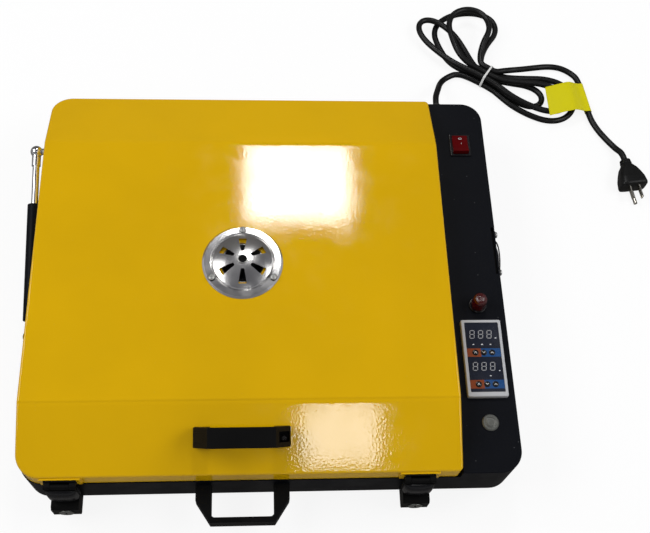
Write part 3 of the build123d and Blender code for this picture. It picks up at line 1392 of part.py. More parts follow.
# Moulded plug with two flat blades and a round ground pin
plug_plane = Plane(origin=plug_start, x_dir=Vector(-plug_way.Y, plug_way.X, 0), z_dir=(0, 0, 1))
plug_front = Plane(origin=plug_start + plug_way * plug_length, x_dir=plug_plane.x_dir, z_dir=plug_way)
with BuildPart() as plug_body:
    with BuildSketch(plug_plane.offset(-plug_depth / 2)):
        with BuildLine():
            sign = 1 if plug_plane.y_dir.dot(plug_way) > 0 else -1
            neck, wide, length = plug_neck / 2, plug_width / 2, plug_length * sign
            Polyline((-neck, 0), (neck, 0), (neck + 1, length * 0.2), (wide, length * 0.55), (wide, length),
                     (-wide, length), (-wide, length * 0.55), (-neck - 1, length * 0.2), close=True)
        make_face()
    extrude(amount=plug_depth)
    fillet(plug_body.edges().filter_by(lambda edge: abs(edge.tangent_at(0).Z) > 0.9
                                       and (edge.center() - plug_start).dot(plug_way) > plug_length * 0.1), 4)
    fillet(plug_body.edges().group_by(Axis.Z)[-1] + plug_body.edges().group_by(Axis.Z)[0], 3)
with BuildPart() as plug_pins:
    with BuildSketch(plug_front):
        with Locations((-blade_pitch / 2, 2), (blade_pitch / 2, 2)):
            Rectangle(blade_size[0], blade_size[2])
    extrude(amount=blade_size[1])
    with BuildSketch(plug_front):
        with Locations((0, -9.0)):
            Circle(ground_pin_radius)
    extrude(amount=ground_pin_length)

pieces = {
    "base_shell": base_shell, "rubber_feet": rubber_feet, "bay_partition": bay_partition,
    "control_cover": control_cover, "chamber_liner": chamber_liner, "base_insulation": base_insulation,
    "heater_tubes": heater_tubes, "tube_rests": tube_rests, "film_rack": film_rack,
    "temperature_probe": temperature_probe, "chamber_seal": chamber_seal, "lid_shell": lid_shell,
    "lid_liner": lid_liner, "lid_insulation": lid_insulation, "hinge_base_leaves": hinge_base_leaves,
    "hinge_lid_leaves": hinge_lid_leaves, "vent_collar": vent_collar, "strut_base_stud": strut_base_stud,
    "strut_lid_stud": strut_lid_stud, "strut_tube": strut_tube, "strut_rod": strut_rod,
    "front_handle": front_handle, "front_handle_caps": front_handle_caps, "lid_handle": lid_handle,
    "lid_handle_cap": lid_handle_cap, "lock_bodies": lock_bodies, "left_lock_cylinder": left_lock_cylinder,
    "right_lock_cylinder": right_lock_cylinder, "hasp_mounts": hasp_mounts, "left_hasp": left_hasp,
    "right_hasp": right_hasp, "vent_cover": vent_cover, "vent_shutter": vent_shutter,
    "rocker_housing": rocker_housing, "rocker_key": rocker_key, "lamp_body": lamp_body, "lamp_lens": lamp_lens,
    "controller_body": controller_body, "controller_face": controller_face, **controller_keys,
    "push_button_body": push_button_body, "push_button_cap": push_button_cap, "fan_frame": fan_frame,
    "fan_rotor": fan_rotor, "fan_guard": fan_guard, "heater_relay": heater_relay, "base_screws": base_screws,
    "lid_screws": lid_screws, "cord_gland": cord_gland, "power_cord": power_cord, "cord_hank": cord_hank,
    "cord_tie": cord_tie, "cord_tag": cord_tag, "plug_body": plug_body, "plug_pins": plug_pins,
}
os.makedirs("parts", exist_ok=True)
for label, piece in pieces.items():
    piece.part.label = label
    export_step(piece.part, f"parts/{label}.step")
lead_length = hank_line.wires()[0].length + power_cord.part.volume / (math.pi * cord_radius ** 2)
print("Lead from gland to plug", round(lead_length), "mm,", len(pieces), "pieces")
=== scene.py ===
import math

import bmesh
import bpy
import numpy as np
from bpy.props import FloatProperty, FloatVectorProperty, IntProperty, PointerProperty
from mathutils import Matrix, Vector


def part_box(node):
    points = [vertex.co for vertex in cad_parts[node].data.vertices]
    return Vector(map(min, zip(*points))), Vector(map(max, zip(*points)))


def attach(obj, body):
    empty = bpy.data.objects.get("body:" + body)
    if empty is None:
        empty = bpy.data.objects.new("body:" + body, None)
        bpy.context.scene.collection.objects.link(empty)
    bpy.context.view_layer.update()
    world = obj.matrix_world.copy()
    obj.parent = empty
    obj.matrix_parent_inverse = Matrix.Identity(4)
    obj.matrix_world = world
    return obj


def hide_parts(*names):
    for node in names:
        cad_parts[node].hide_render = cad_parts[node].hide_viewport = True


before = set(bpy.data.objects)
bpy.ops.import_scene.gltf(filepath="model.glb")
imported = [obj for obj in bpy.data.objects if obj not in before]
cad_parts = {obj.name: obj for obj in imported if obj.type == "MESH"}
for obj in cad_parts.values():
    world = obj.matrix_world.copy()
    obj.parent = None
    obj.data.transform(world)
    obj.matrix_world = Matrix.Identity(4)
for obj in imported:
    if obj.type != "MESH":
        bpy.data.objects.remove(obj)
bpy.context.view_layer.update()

bl_info = {
    "name": "Film Curing Oven",
    "version": (1, 0, 0),
    "blender": (4, 5, 0),
    "location": "View3D > Sidebar > Curing Oven",
    "description": "Finishes and fine pieces for a tabletop oven that cures printed transfer film",
    "category": "Object",
}


def middle_of(name):
    """The middle of a piece's box, in metres."""
    return tuple((low + high) / 2 for low, high in zip(*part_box(name)))


# Places on the oven, in metres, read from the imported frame
CASE_LOW, CASE_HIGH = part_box("base_shell")
LID_LOW, LID_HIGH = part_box("lid_shell")
FACE_LOW, FACE_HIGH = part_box("controller_face")
CASE_X, CASE_Y, _ = middle_of("base_shell")
LID_X = middle_of("lid_shell")[0]
VENT = Vector((*middle_of("vent_cover")[:2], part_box("vent_cover")[0].z))

# Measures that several pieces share: the lid's two falls, a screw's head, half the distance between a handle's two
# screws and how far out they sit, the fan's screws from its middle and the vent's from its own
MM = 0.001
UP = np.array([0, 0, 1.0])
LID_DROP, LID_FRONT_RUN, LID_REAR_RUN = 25 * MM, 74 * MM, 80 * MM
HEAD_RADIUS, HEAD_HEIGHT = 3.6 * MM, 2.3 * MM
HANDLE_SCREW, HANDLE_SEAT = 43.3 * MM, 8.05 * MM
FAN_SCREW, VENT_SCREW = 25 * MM, 39.5 * MM


# Settings that a user would change

class LeadSettings(bpy.types.PropertyGroup):
    diameter: FloatProperty(
        name="Lead diameter", description="Outer diameter of the mains lead",
        default=0.008, min=0.004, max=0.014, subtype="DISTANCE", unit="LENGTH")
    length: FloatProperty(
        name="Lead length", description="Length of the mains lead from the gland to the plug",
        default=2.01, min=1.0, max=5.0, subtype="DISTANCE", unit="LENGTH")
    loop_points: IntProperty(
        name="Points a loop", description="Control points in each loop of the hank", default=12, min=12, max=24)


COLOUR = {"min": 0, "max": 1, "size": 3, "subtype": "COLOR"}


class ColourSettings(bpy.types.PropertyGroup):
    lid: FloatVectorProperty(
        name="Lid", description="Powder coat of the lid", default=(0.73, 0.425, 0.0),
        **COLOUR)
    case: FloatVectorProperty(
        name="Case", description="Powder coat of the case and the panel", default=(0.0038, 0.0044, 0.0066),
        **COLOUR)
    plastic: FloatVectorProperty(
        name="Plastic", description="Moulded handles, latches and housings", default=(0.004, 0.004, 0.004),
        **COLOUR)
    rocker: FloatVectorProperty(
        name="Rocker", description="Key of the rocker switch", default=(0.085, 0.0012, 0.002),
        **COLOUR)
    label: FloatVectorProperty(
        name="Lead label", description="Paper label on the lead", default=(0.70, 0.63, 0.005),
        **COLOUR)


class LightSettings(bpy.types.PropertyGroup):
    lens: FloatProperty(
        name="Lens", description="Focal length for a 36 mm sensor", default=54.79, min=20, max=200, unit="CAMERA")
    sky: FloatProperty(
        name="Sky", description="Strength of the soft light from all round", default=1.0, min=0, max=3)
    ceiling: FloatProperty(
        name="Ceiling", description="Brightness of the small lamps over the oven", default=30.0, min=0, max=60)
    sides: FloatProperty(
        name="Sides", description="Brightness of the broad lamps beside the oven", default=4.2, min=0, max=20)


# Mesh helpers

def round_angles(count):
    """Angles evenly spaced round a full turn."""
    return np.linspace(0, 2 * np.pi, count, endpoint=False)


def squared(angle, power):
    """cos and sin of an angle, each with its size raised to a power and its sign kept."""
    return [np.sign(part) * np.abs(part) ** power for part in (np.cos(angle), np.sin(angle))]


def eased(value):
    """3 v^2 - 2 v^3, held at 0 and 1."""
    value = np.clip(value, 0, 1)
    return value * value * (3 - 2 * value)


def turn_to(way):
    """The matrix that turns the z axis to a direction."""
    return np.array(Vector((0, 0, 1)).rotation_difference(Vector(way)).to_matrix())


def grid_faces(rows, columns, close_rows=False, close_columns=False):
    """Quads of a grid of rows by columns, joined round where asked."""
    r = np.arange(rows if close_rows else rows - 1)
    c = np.arange(columns if close_columns else columns - 1)
    r, c = np.meshgrid(r, c, indexing="ij")
    r, c = r.ravel(), c.ravel()
    r2, c2 = (r + 1) % rows, (c + 1) % columns
    return np.column_stack([r * columns + c, r * columns + c2, r2 * columns + c2, r2 * columns + c])


def put_mesh(name, points, faces, smooth=True, parts=1):
    """A mesh object from points (N by 3, metres) and faces, repeated for each of the parts stacked in points."""
    points = np.asarray(points, float).reshape(-1, 3)
    each = len(points) // parts
    faces = [tuple(int(i) + part * each for i in face) for part in range(parts) for face in faces]
    mesh = bpy.data.meshes.new(name)
    mesh.from_pydata(points.tolist(), [], faces)
    work = bmesh.new()
    work.from_mesh(mesh)
    bmesh.ops.remove_doubles(work, verts=work.verts, dist=1e-6)
    bmesh.ops.recalc_face_normals(work, faces=work.faces)
    work.to_mesh(mesh)
    work.free()
    mesh.polygons.foreach_set("use_smooth", [smooth] * len(mesh.polygons))
    mesh.update()
    piece = bpy.data.objects.new(name, mesh)
    bpy.context.scene.collection.objects.link(piece)
    return piece


def turned_piece(name, profile, centres, axis=(0, 0, 1), count=48):
    """A profile of (radius, height) pairs carried round an axis: x = r cos a, y = r sin a, z = h. It stands at one
    place or at each of several."""
    profile, centres = np.asarray(profile, float), np.atleast_2d(np.asarray(centres, float))
    angle = round_angles(count)
    radius, height = profile[:, :1], profile[:, 1:]
    shape = np.stack([radius * np.cos(angle), radius * np.sin(angle), height + 0 * angle], axis=-1)
    points = (shape.reshape(-1, 3) @ turn_to(axis).T)[None] + centres[:, None]
    return put_mesh(name, points, grid_faces(len(profile), count, close_columns=True), parts=len(centres))


def wire_section(radius, height, wire):
    """The profile of a round wire bent to a ring, closed."""
    a = np.linspace(0, 2 * np.pi, 13)
    return np.column_stack([radius + wire * np.cos(a), height + wire * np.sin(a)])


def swept_tube(path, radius, sides=10, closed=True):
    """A round section carried along a path: point + radius (normal cos a + binormal sin a)."""
    path = np.asarray(path, float)
    if closed:
        tangent = np.roll(path, -1, axis=0) - np.roll(path, 1, axis=0)
    else:
        tangent = np.gradient(path, axis=0)
    tangent /= np.linalg.norm(tangent, axis=1)[:, None]
    up = np.where(np.abs(tangent[:, 2:]) > 0.9, [[1.0, 0, 0]], [[0, 0, 1.0]])
    normal = np.cross(up, tangent)
    normal /= np.linalg.norm(normal, axis=1)[:, None]
    binormal = np.cross(tangent, normal)
    angle = round_angles(sides)[None, :, None]
    ring = normal[:, None] * np.cos(angle) + binormal[:, None] * np.sin(angle)
    radius = np.broadcast_to(np.asarray(radius, float), (len(path),))
    points = path[:, None] + ring * radius[:, None, None]
    return points.reshape(-1, 3), grid_faces(len(path), sides, close_rows=closed, close_columns=True)


def thicken(piece, depth, offset=0.0):
    """Gives a surface a wall."""
    wall = piece.modifiers.new("Wall", "SOLIDIFY")
    wall.thickness = depth
    wall.offset = offset


# Node helpers

def feed(node, sources):
    """Gives sockets of a node, by name or number, a value each or a link from another socket."""
    for key, source in sources.items():
        if isinstance(source, bpy.types.NodeSocket):
            node.id_data.links.new(source, node.inputs[key])
        else:
            node.inputs[key].default_value = source


def add_node(tree, kind, sources=None, **settings):
    """A node with its settings and what its sockets are fed."""
    node = tree.nodes.new(kind)
    for key, value in settings.items():
        setattr(node, key, value)
    feed(node, sources or {})
    return node


def maths(tree, operation, first, second=None):
    """The result socket of a Math node."""
    sources = {0: first} if second is None else {0: first, 1: second}
    return add_node(tree, "ShaderNodeMath", sources, operation=operation).outputs[0]


def times(tree, first, second):
    """The product of two values."""
    return maths(tree, "MULTIPLY", first, second)


def plus(tree, first, second):
    """The sum of two values."""
    return maths(tree, "ADD", first, second)


def distance(tree, first, second):
    """How far one value is from another."""
    return maths(tree, "ABSOLUTE", maths(tree, "SUBTRACT", first, second))


def mixed(tree, share, first, second):
    """The colour socket of a Mix node."""
    return add_node(tree, "ShaderNodeMix", {0: share, 6: first, 7: second}, data_type="RGBA").outputs[2]


def ranged(tree, value, low, high, to_low=0.0, to_high=1.0):
    """The value carried from one range to another, held at its ends."""
    return add_node(tree, "ShaderNodeMapRange", {0: value, 1: low, 2: high, 3: to_low, 4: to_high}).outputs[0]


def own_place(tree):
    """The socket with the place of a point in its piece's own frame."""
    return add_node(tree, "ShaderNodeTexCoord").outputs["Object"]


def axes_of(tree, place):
    """The x, y and z sockets of a place."""
    return add_node(tree, "ShaderNodeSeparateXYZ", {0: place}).outputs


def noise(tree, place, scale, **values):
    """The value socket of a Noise Texture."""
    return add_node(tree, "ShaderNodeTexNoise", {"Vector": place, "Scale": scale, **values}).outputs[0]


def bump(tree, height, strength, depth, **sources):
    """The normal socket of a Bump node."""
    sources.update(Height=height, Strength=strength, Distance=depth)
    return add_node(tree, "ShaderNodeBump", sources).outputs[0]


def nodes_of(material):
    """A material's node tree and its shader."""
    return material.node_tree, material.node_tree.nodes["Principled BSDF"]


def new_material(name):
    """A material with nodes, its node tree and its shader."""
    material = bpy.data.materials.new(name)
    material.use_nodes = True
    return material, *nodes_of(material)


# Node groups that several finishes share

def group_tree(name, **values):
    """A shader node group that takes these values, each with its default, and gives a colour, a roughness and a
    height for the bump. Also the sockets inside it that bring the values, and the node that takes the results."""
    tree = bpy.data.node_groups.new(name, "ShaderNodeTree")
    kinds = {1: "NodeSocketFloat", 3: "NodeSocketVector", 4: "NodeSocketColor"}
    for label, default in values.items():
        socket = tree.interface.new_socket(name=label, in_out="INPUT", socket_type=kinds[np.size(default)])
        socket.default_value = default
    for label, size in (("Colour", 4), ("Roughness", 1), ("Height", 1)):
        tree.interface.new_socket(name=label, in_out="OUTPUT", socket_type=kinds[size])
    return tree, tree.nodes.new("NodeGroupInput").outputs, tree.nodes.new("NodeGroupOutput")


def coating_group():
    """Powder coat: broad flow ripples with a fine second octave, slow colour drift and a few dust specks."""
    tree, given, made = group_tree("powder_coat", Colour=(0.5, 0.5, 0.5, 1), Roughness=0.3, Peel=320.0,
                                   Drift=0.06, Dust=0.3)
    place = own_place(tree)
    peel = noise(tree, place, given["Peel"], Detail=1.5, Roughness=0.4)
    slow = noise(tree, place, 7.0, Detail=3.0)
    rub = noise(tree, place, 38.0, Detail=4.0, Roughness=0.62)
    cells = add_node(tree, "ShaderNodeTexVoronoi", {"Vector": place, "Scale": 165.0}).outputs
    speck = ranged(tree, cells["Distance"], 0.05, 0.11, 1.0, 0.0)
    lot = add_node(tree, "ShaderNodeSeparateColor", {0: cells["Color"]}).outputs[0]
    dust = times(tree, times(tree, speck, maths(tree, "GREATER_THAN", lot, 0.82)), given["Dust"])
    drift = times(tree, ranged(tree, slow, 0.35, 0.65, -1.0, 1.0), given["Drift"])
    tinted = add_node(tree, "ShaderNodeHueSaturation", {"Color": given["Colour"], "Value": plus(tree, drift, 1.0)})
    worn = plus(tree, given["Roughness"], ranged(tree, rub, 0.35, 0.7, -0.035, 0.05))
    feed(made, {"Colour": mixed(tree, dust, tinted.outputs[0], (0.42, 0.42, 0.44, 1)),
                "Roughness": plus(tree, worn, times(tree, dust, 0.3)),
                "Height": plus(tree, peel, times(tree, dust, 0.25))})
    return tree


def grain_group():
    """Moulded plastic or rubber: a fine spark-eroded grain, faint flow marks and handling shine."""
    tree, given, made = group_tree("moulded_grain", Colour=(0.02, 0.02, 0.02, 1), Roughness=0.5, Grain=1400.0,
                                   Dust=0.1)
    place = own_place(tree)
    fine = noise(tree, place, given["Grain"], Detail=2.0)
    touched = ranged(tree, noise(tree, place, 24.0, Detail=4.0), 0.4, 0.68)
    lift = times(tree, touched, given["Dust"])
    worn = plus(tree, given["Roughness"], times(tree, touched, 0.09))
    feed(made, {"Colour": mixed(tree, lift, given["Colour"], (0.30, 0.29, 0.28, 1)),
                "Roughness": plus(tree, worn, times(tree, fine, 0.05)), "Height": fine})
    return tree


def brushed_group():
    """Rolled or polished metal: fine lines along one axis, faint stains and scratches."""
    tree, given, made = group_tree("brushed_metal", Colour=(0.7, 0.7, 0.7, 1), Roughness=0.2,
                                   Stretch=(900.0, 30.0, 900.0), Stain=0.12)
    place = own_place(tree)
    drawn = add_node(tree, "ShaderNodeVectorMath", {0: place, 1: given["Stretch"]}, operation="MULTIPLY")
    lines = noise(tree, drawn.outputs[0], 1.0, Detail=3.0)
    slow = noise(tree, place, 30.0, Detail=5.0, Roughness=0.6)
    stain = times(tree, ranged(tree, slow, 0.45, 0.75), given["Stain"])
    worn = plus(tree, given["Roughness"], ranged(tree, lines, 0.3, 0.7, -0.03, 0.06))
    feed(made, {"Colour": mixed(tree, stain, given["Colour"], (0.20, 0.18, 0.16, 1)),
                "Roughness": plus(tree, worn, times(tree, stain, 0.5)), "Height": lines})
    return tree


# Finishes

# The shared groups: what makes each, and the values that a finish sets on it, in this order
EFFECTS = {
    "coat": (coating_group, ("Colour", "Roughness", "Peel", "Drift", "Dust")),
    "grain": (grain_group, ("Colour", "Roughness", "Grain", "Dust")),
    "metal": (brushed_group, ("Colour", "Roughness", "Stretch", "Stain")),
}
SPECULAR, METALLIC = "Specular IOR Level", "Metallic"
# Each finish: its group, the bump's strength and its depth in millimetres, the group's values, and a socket of the
# shader with its value where that isn't the usual one. A colour given as a word is one of the settings.
FINISHES = {
    "yellow_powder_coat": ("coat", 0.22, 0.2, ("lid", 0.055, 400, 0.035, 0.05), "IOR", 1.5),
    "black_powder_coat": ("coat", 0.35, 0.3, ("case", 0.42, 620, 0.10, 0.20), SPECULAR, 0.07),
    "black_plastic": ("grain", 0.22, 0.1, ("plastic", 0.40, 1500, 0.005), SPECULAR, 0.06),
    "gloss_plastic": ("grain", 0.05, 0.1, ((0.006, 0.006, 0.007), 0.16, 1400, 0.02), SPECULAR, 0.3),
    "grey_plastic": ("grain", 0.15, 0.1, ((0.60, 0.60, 0.58), 0.42, 1400, 0.05)),
    "bezel_frame": ("grain", 0.12, 0.1, ((0.50, 0.51, 0.53), 0.30, 1400, 0.05)),
    "lead_rubber": ("grain", 0.12, 0.1, ((0.006, 0.006, 0.006), 0.30, 900, 0.0), SPECULAR, 0.25),
    "matt_rubber": ("grain", 0.3, 0.2, ((0.012, 0.012, 0.012), 0.62, 700, 0.06)),
    "silicone_rope": ("grain", 0.6, 0.6, ((0.48, 0.45, 0.38), 0.7, 420, 0.15)),
    "mineral_wool": ("grain", 0.9, 2.0, ((0.50, 0.43, 0.28), 0.85, 160, 0.25)),
    "tie_plastic": ("grain", 0.15, 0.1, ((0.78, 0.78, 0.76), 0.35, 1400, 0.08)),
    "label_paper": ("grain", 0.25, 0.1, ("label", 0.45, 1100, 0.02), SPECULAR, 0.1),
    "red_key": ("grain", 0.04, 0.1, ("rocker", 0.14, 1400, 0.0), SPECULAR, 0.12),
    "mark_white": ("grain", 0.05, 0.1, ((0.80, 0.80, 0.80), 0.4, 1400, 0.05)),
    "figure_segments": ("grain", 0.03, 0.1, ((0.30, 0.30, 0.31), 0.35, 1400, 0.12)),
    "lamp_dots": ("grain", 0.03, 0.1, ((0.66, 0.68, 0.70), 0.35, 1400, 0.12)),
    "printed_film": ("grain", 0.04, 0.1, ((0.007, 0.010, 0.022), 0.2, 1400, 0.02)),
    "polished_steel": ("metal", 0.05, 0.1, ((0.80, 0.79, 0.78), 0.11, (500, 40, 500), 0.05), METALLIC, 1.0),
    "chrome": ("metal", 0.02, 0.1, ((0.78, 0.78, 0.79), 0.07, (300, 60, 300), 0.04), METALLIC, 1.0),
    "brushed_steel": ("metal", 0.12, 0.1, ((0.55, 0.55, 0.56), 0.30, (30, 900, 900), 0.15), METALLIC, 1.0),
    "zinc_steel": ("metal", 0.10, 0.1, ((0.50, 0.50, 0.49), 0.34, (200, 200, 200), 0.25), METALLIC, 1.0),
    "scaled_tube": ("metal", 0.25, 0.2, ((0.16, 0.15, 0.14), 0.52, (260, 260, 260), 0.6), METALLIC, 0.8),
    "button_metal": ("metal", 0.06, 0.1, ((0.17, 0.175, 0.16), 0.32, (200, 200, 200), 0.1), METALLIC, 0.75),
    "vent_steel": ("metal", 0.02, 0.1, ((0.74, 0.73, 0.72), 0.19, (60, 60, 20), 0.0), METALLIC, 1.0),
    "dark_screw": ("metal", 0.06, 0.1, ((0.09, 0.085, 0.085), 0.30, (200, 200, 200), 0.2), METALLIC, 0.9),
    "nickel_plate": ("metal", 0.06, 0.1, ((0.70, 0.67, 0.60), 0.20, (800, 60, 800), 0.12), METALLIC, 1.0),
}
GROUPS, MATERIALS = {}, {}


def finish(name):
    """One of the oven's finishes, made when it is first asked for."""
    if name in MATERIALS:
        return MATERIALS[name]
    effect, strength, depth, (colour, *others), *own_socket = FINISHES[name]
    maker, labels = EFFECTS[effect]
    if effect not in GROUPS:
        GROUPS[effect] = maker()
    if isinstance(colour, str):
        colour = getattr(bpy.context.scene.oven_colours, colour)
    material, tree, shader = new_material(name)
    group = add_node(tree, "ShaderNodeGroup", node_tree=GROUPS[effect])
    feed(group, dict(zip(labels, ((*colour, 1), *others))))
    feed(shader, {"Base Color": group.outputs["Colour"], "Roughness": group.outputs["Roughness"],
                  "Normal": bump(tree, group.outputs["Height"], strength, depth * MM)})
    if own_socket:
        feed(shader, dict([own_socket]))
    MATERIALS[name] = material
    return material


def coat(piece, material):
    """Gives a piece one material: a finish by its name, or one made for the piece."""
    slots = piece.data.materials
    slots.clear()
    slots.append(material if isinstance(material, bpy.types.Material) else finish(material))


def dress(piece, material, body, slot, *nodes):
    """Gives a new piece its material and its body, and hides the CAD nodes that it stands for."""
    coat(piece, material)
    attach(piece, body)
    if nodes:
        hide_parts(*nodes)
    return piece


# Stage

# The camera's turns, and its place from the middle of the case and the floor, in metres
CAMERA_TILT, CAMERA_YAW, CAMERA_ROLL = math.radians(26.5), math.radians(-9.0), math.radians(7.9)
CAMERA_PLACE = (-0.0184, -0.4969, 1.102)
# Lamps: place, aim and size in metres, the setting that gives the brightness, and the share of it
LAMPS = {
    "ceiling_lamp": ((0.135, 1.25, 2.0), (0.135, 1.24, 0.0), (0.35, 0.30), "ceiling", 1.0),
    "front_lamp": ((0.25, -0.91, 2.0), (0.25, -0.90, 0.0), (0.24, 0.22), "ceiling", 0.36),
    "left_lamp": ((-1.45, 0.1, 1.7), (0.0, 0.0, 0.08), (1.7, 1.0), "sides", 1.0),
    "right_lamp": ((1.5, -0.1, 1.6), (0.0, 0.0, 0.08), (1.5, 0.8), "sides", 1.0),
}


class OVEN_OT_stage(bpy.types.Operator):
    """Sets the camera at the photograph's angle, the soft lamps, the sky and the pale floor"""
    bl_idname = "oven.stage"
    bl_label = "Camera, light and floor"

    def execute(self, context):
        light = context.scene.oven_light
        self.camera(context, light.lens)
        for name, (place, aim, size, setting, share) in LAMPS.items():
            self.lamp(name, place, aim, size, getattr(light, setting) * share)
        self.sky(context, light.sky)
        self.floor()
        context.scene.view_settings.view_transform = "Standard"
        return {"FINISHED"}

    def camera(self, context, lens):
        """A camera that looks down, tilted up to the rear, turned about the vertical and rolled about its line."""
        camera = bpy.data.objects.new("photo_camera", bpy.data.cameras.new("photo_camera"))
        context.scene.collection.objects.link(camera)
        context.scene.camera = camera
        camera.data.sensor_width = 36.0
        camera.data.lens = lens
        sin, cos = math.sin(CAMERA_TILT), math.cos(CAMERA_TILT)
        turn = Matrix.Rotation(CAMERA_YAW, 3, "Z")
        forward, right, up = (turn @ Vector(way) for way in ((0, sin, -cos), (1, 0, 0), (0, cos, sin)))
        across = right * math.cos(CAMERA_ROLL) + up * math.sin(CAMERA_ROLL)
        above = up * math.cos(CAMERA_ROLL) - right * math.sin(CAMERA_ROLL)
        camera.matrix_world = Matrix((across, above, -forward)).transposed().to_4x4()
        camera.location = (CASE_X + CAMERA_PLACE[0], CASE_Y + CAMERA_PLACE[1], CAMERA_PLACE[2])
        camera.data.clip_start, camera.data.clip_end = 0.01, 50.0

    def lamp(self, name, place, aim, size, radiance):
        """A flat lamp of that radiance, turned to its aim."""
        data = bpy.data.lights.new(name, "AREA")
        data.shape = "RECTANGLE"
        data.size, data.size_y = size
        data.energy = radiance * math.pi * size[0] * size[1]
        lamp = bpy.data.objects.new(name, data)
        bpy.context.scene.collection.objects.link(lamp)
        lamp.location = place
        lamp.rotation_euler = (Vector(aim) - Vector(place)).to_track_quat("-Z", "Y").to_euler()

    def sky(self, context, strength):
        """Soft light from all round, brighter near the horizon than overhead, and white to the camera."""
        world = bpy.data.worlds.new("soft_sky")
        context.scene.world = world
        world.use_nodes = True
        tree = world.node_tree
        height = axes_of(tree, add_node(tree, "ShaderNodeTexCoord").outputs["Generated"])[2]
        colour = mixed(tree, ranged(tree, height, 0.0, 0.75), (0.50, 0.50, 0.51, 1), (0.10, 0.10, 0.11, 1))
        seen = add_node(tree, "ShaderNodeLightPath").outputs["Is Camera Ray"]
        feed(tree.nodes["Background"], {"Color": mixed(tree, seen, colour, (1, 1, 1, 1)), "Strength": strength})

    def floor(self):
        """A pale sheet: z = 0 under the oven, rising far behind it as height = radius (1 - cos a)."""
        front, bend, radius, top, half_width = -6.0, 3.0, 2.5, 6.0, 7.0
        a = np.linspace(0.1, np.pi / 2, 12)
        run = np.concatenate([np.linspace(front, bend, 10), bend + radius * np.sin(a), [bend + radius]])
        rise = np.concatenate([np.zeros(10), radius * (1 - np.cos(a)), [top]]) - 0.3 * MM
        side, run = np.meshgrid(np.linspace(-half_width, half_width, 8), run)
        points = np.stack([side, run, np.broadcast_to(rise[:, None], side.shape)], axis=-1)
        floor = put_mesh("studio_floor", points, grid_faces(*side.shape))
        coat(floor, self.paper())

    def paper(self):
        """White paper that shines to the camera and stands dim in the oven's reflections."""
        material, tree, shader = new_material("studio_paper")
        speck = noise(tree, own_place(tree), 3.0)
        feed(shader, {"Base Color": mixed(tree, speck, (0.93, 0.93, 0.93, 1), (0.96, 0.96, 0.96, 1)),
                      "Roughness": 0.9, SPECULAR: 0.1})
        rays = add_node(tree, "ShaderNodeLightPath").outputs
        seen = maths(tree, "MAXIMUM", rays["Is Camera Ray"], rays["Is Transmission Ray"])
        surface = shader.outputs[0]
        for ray, share, colour, strength in ((seen, 0.86, (1, 1, 1, 1), 1.02),
                                             (rays["Is Glossy Ray"], 0.9, (0.10, 0.095, 0.09, 1), 1.0)):
            glow = add_node(tree, "ShaderNodeEmission", {"Color": colour, "Strength": strength}).outputs[0]
            surface = add_node(tree, "ShaderNodeMixShader",
                               {0: times(tree, ray, share), 1: surface, 2: glow}).outputs[0]
        feed(tree.nodes["Material Output"], {"Surface": surface})
        return material


# Mains lead

# The waist's middle from the middle of the case, and the sizes of the hank, in millimetres
WAIST = (300.5, 334.0)
STRAND_PITCH, LAYER_PITCH, WAIST_HALF, WAIST_LIFT = 8.6, 9.2, 16.0, 5.55
WAIST_TURN = math.radians(-35.0)
WAIST_ALONG = np.array([math.cos(WAIST_TURN), math.sin(WAIST_TURN), 0])
WAIST_ACROSS = np.array([-WAIST_ALONG[1], WAIST_ALONG[0], 0])
# Where a loop's points begin and end, what makes up for the rounding of the spline, the part of a loop's lean that it
# has at the waist, and the height of the lowest strand's middle in millimetres
PETAL_SPAN = (0.24 * np.pi, 1.76 * np.pi)
REACH_GAIN, WIDTH_GAIN = 1.04, 1.4255
LEAN_AT_WAIST, TABLE_LIFT = 0.45, 4
# Loops: side, row in, row out, layer in, layer out, layer at the tip, reach, width, lean, power of the width
HANK_LOOPS = (
    (1, -1.5, 1.5, 0, 0, 0, 122, 56, 13.5, 1.4),
    (-1, 1.5, -0.5, 0, 0, 0, 109, 82, 46, 1.2),
    (1, -0.5, 0.5, 0, 0, 0, 80, 28, 8, 1.4),
    (-1, 0.5, -1.0, 0, 1, 1, 120, 33, 14.5, 1.4),
    (1, -1.0, 0.0, 1, 1, 1, 112, 38, 13, 1.4),
    (-1, 0.0, 1.0, 1, 1, 2, 101, 52, 47, 1.1),
)


def by_case(*points):
    """Points measured in millimetres from the middle of the case in plan, in the row frame in metres."""
    return np.array(points, float) * MM + [CASE_X, CASE_Y, 0]


def on_waist(local):
    """Points given along the waist, across it and up, in millimetres, put in the row frame in metres."""
    local = np.atleast_2d(np.asarray(local, float))
    shift = local[:, [0]] * WAIST_ALONG + local[:, [1]] * WAIST_ACROSS + local[:, [2]] * UP
    return by_case((*WAIST, 0)) + shift * MM


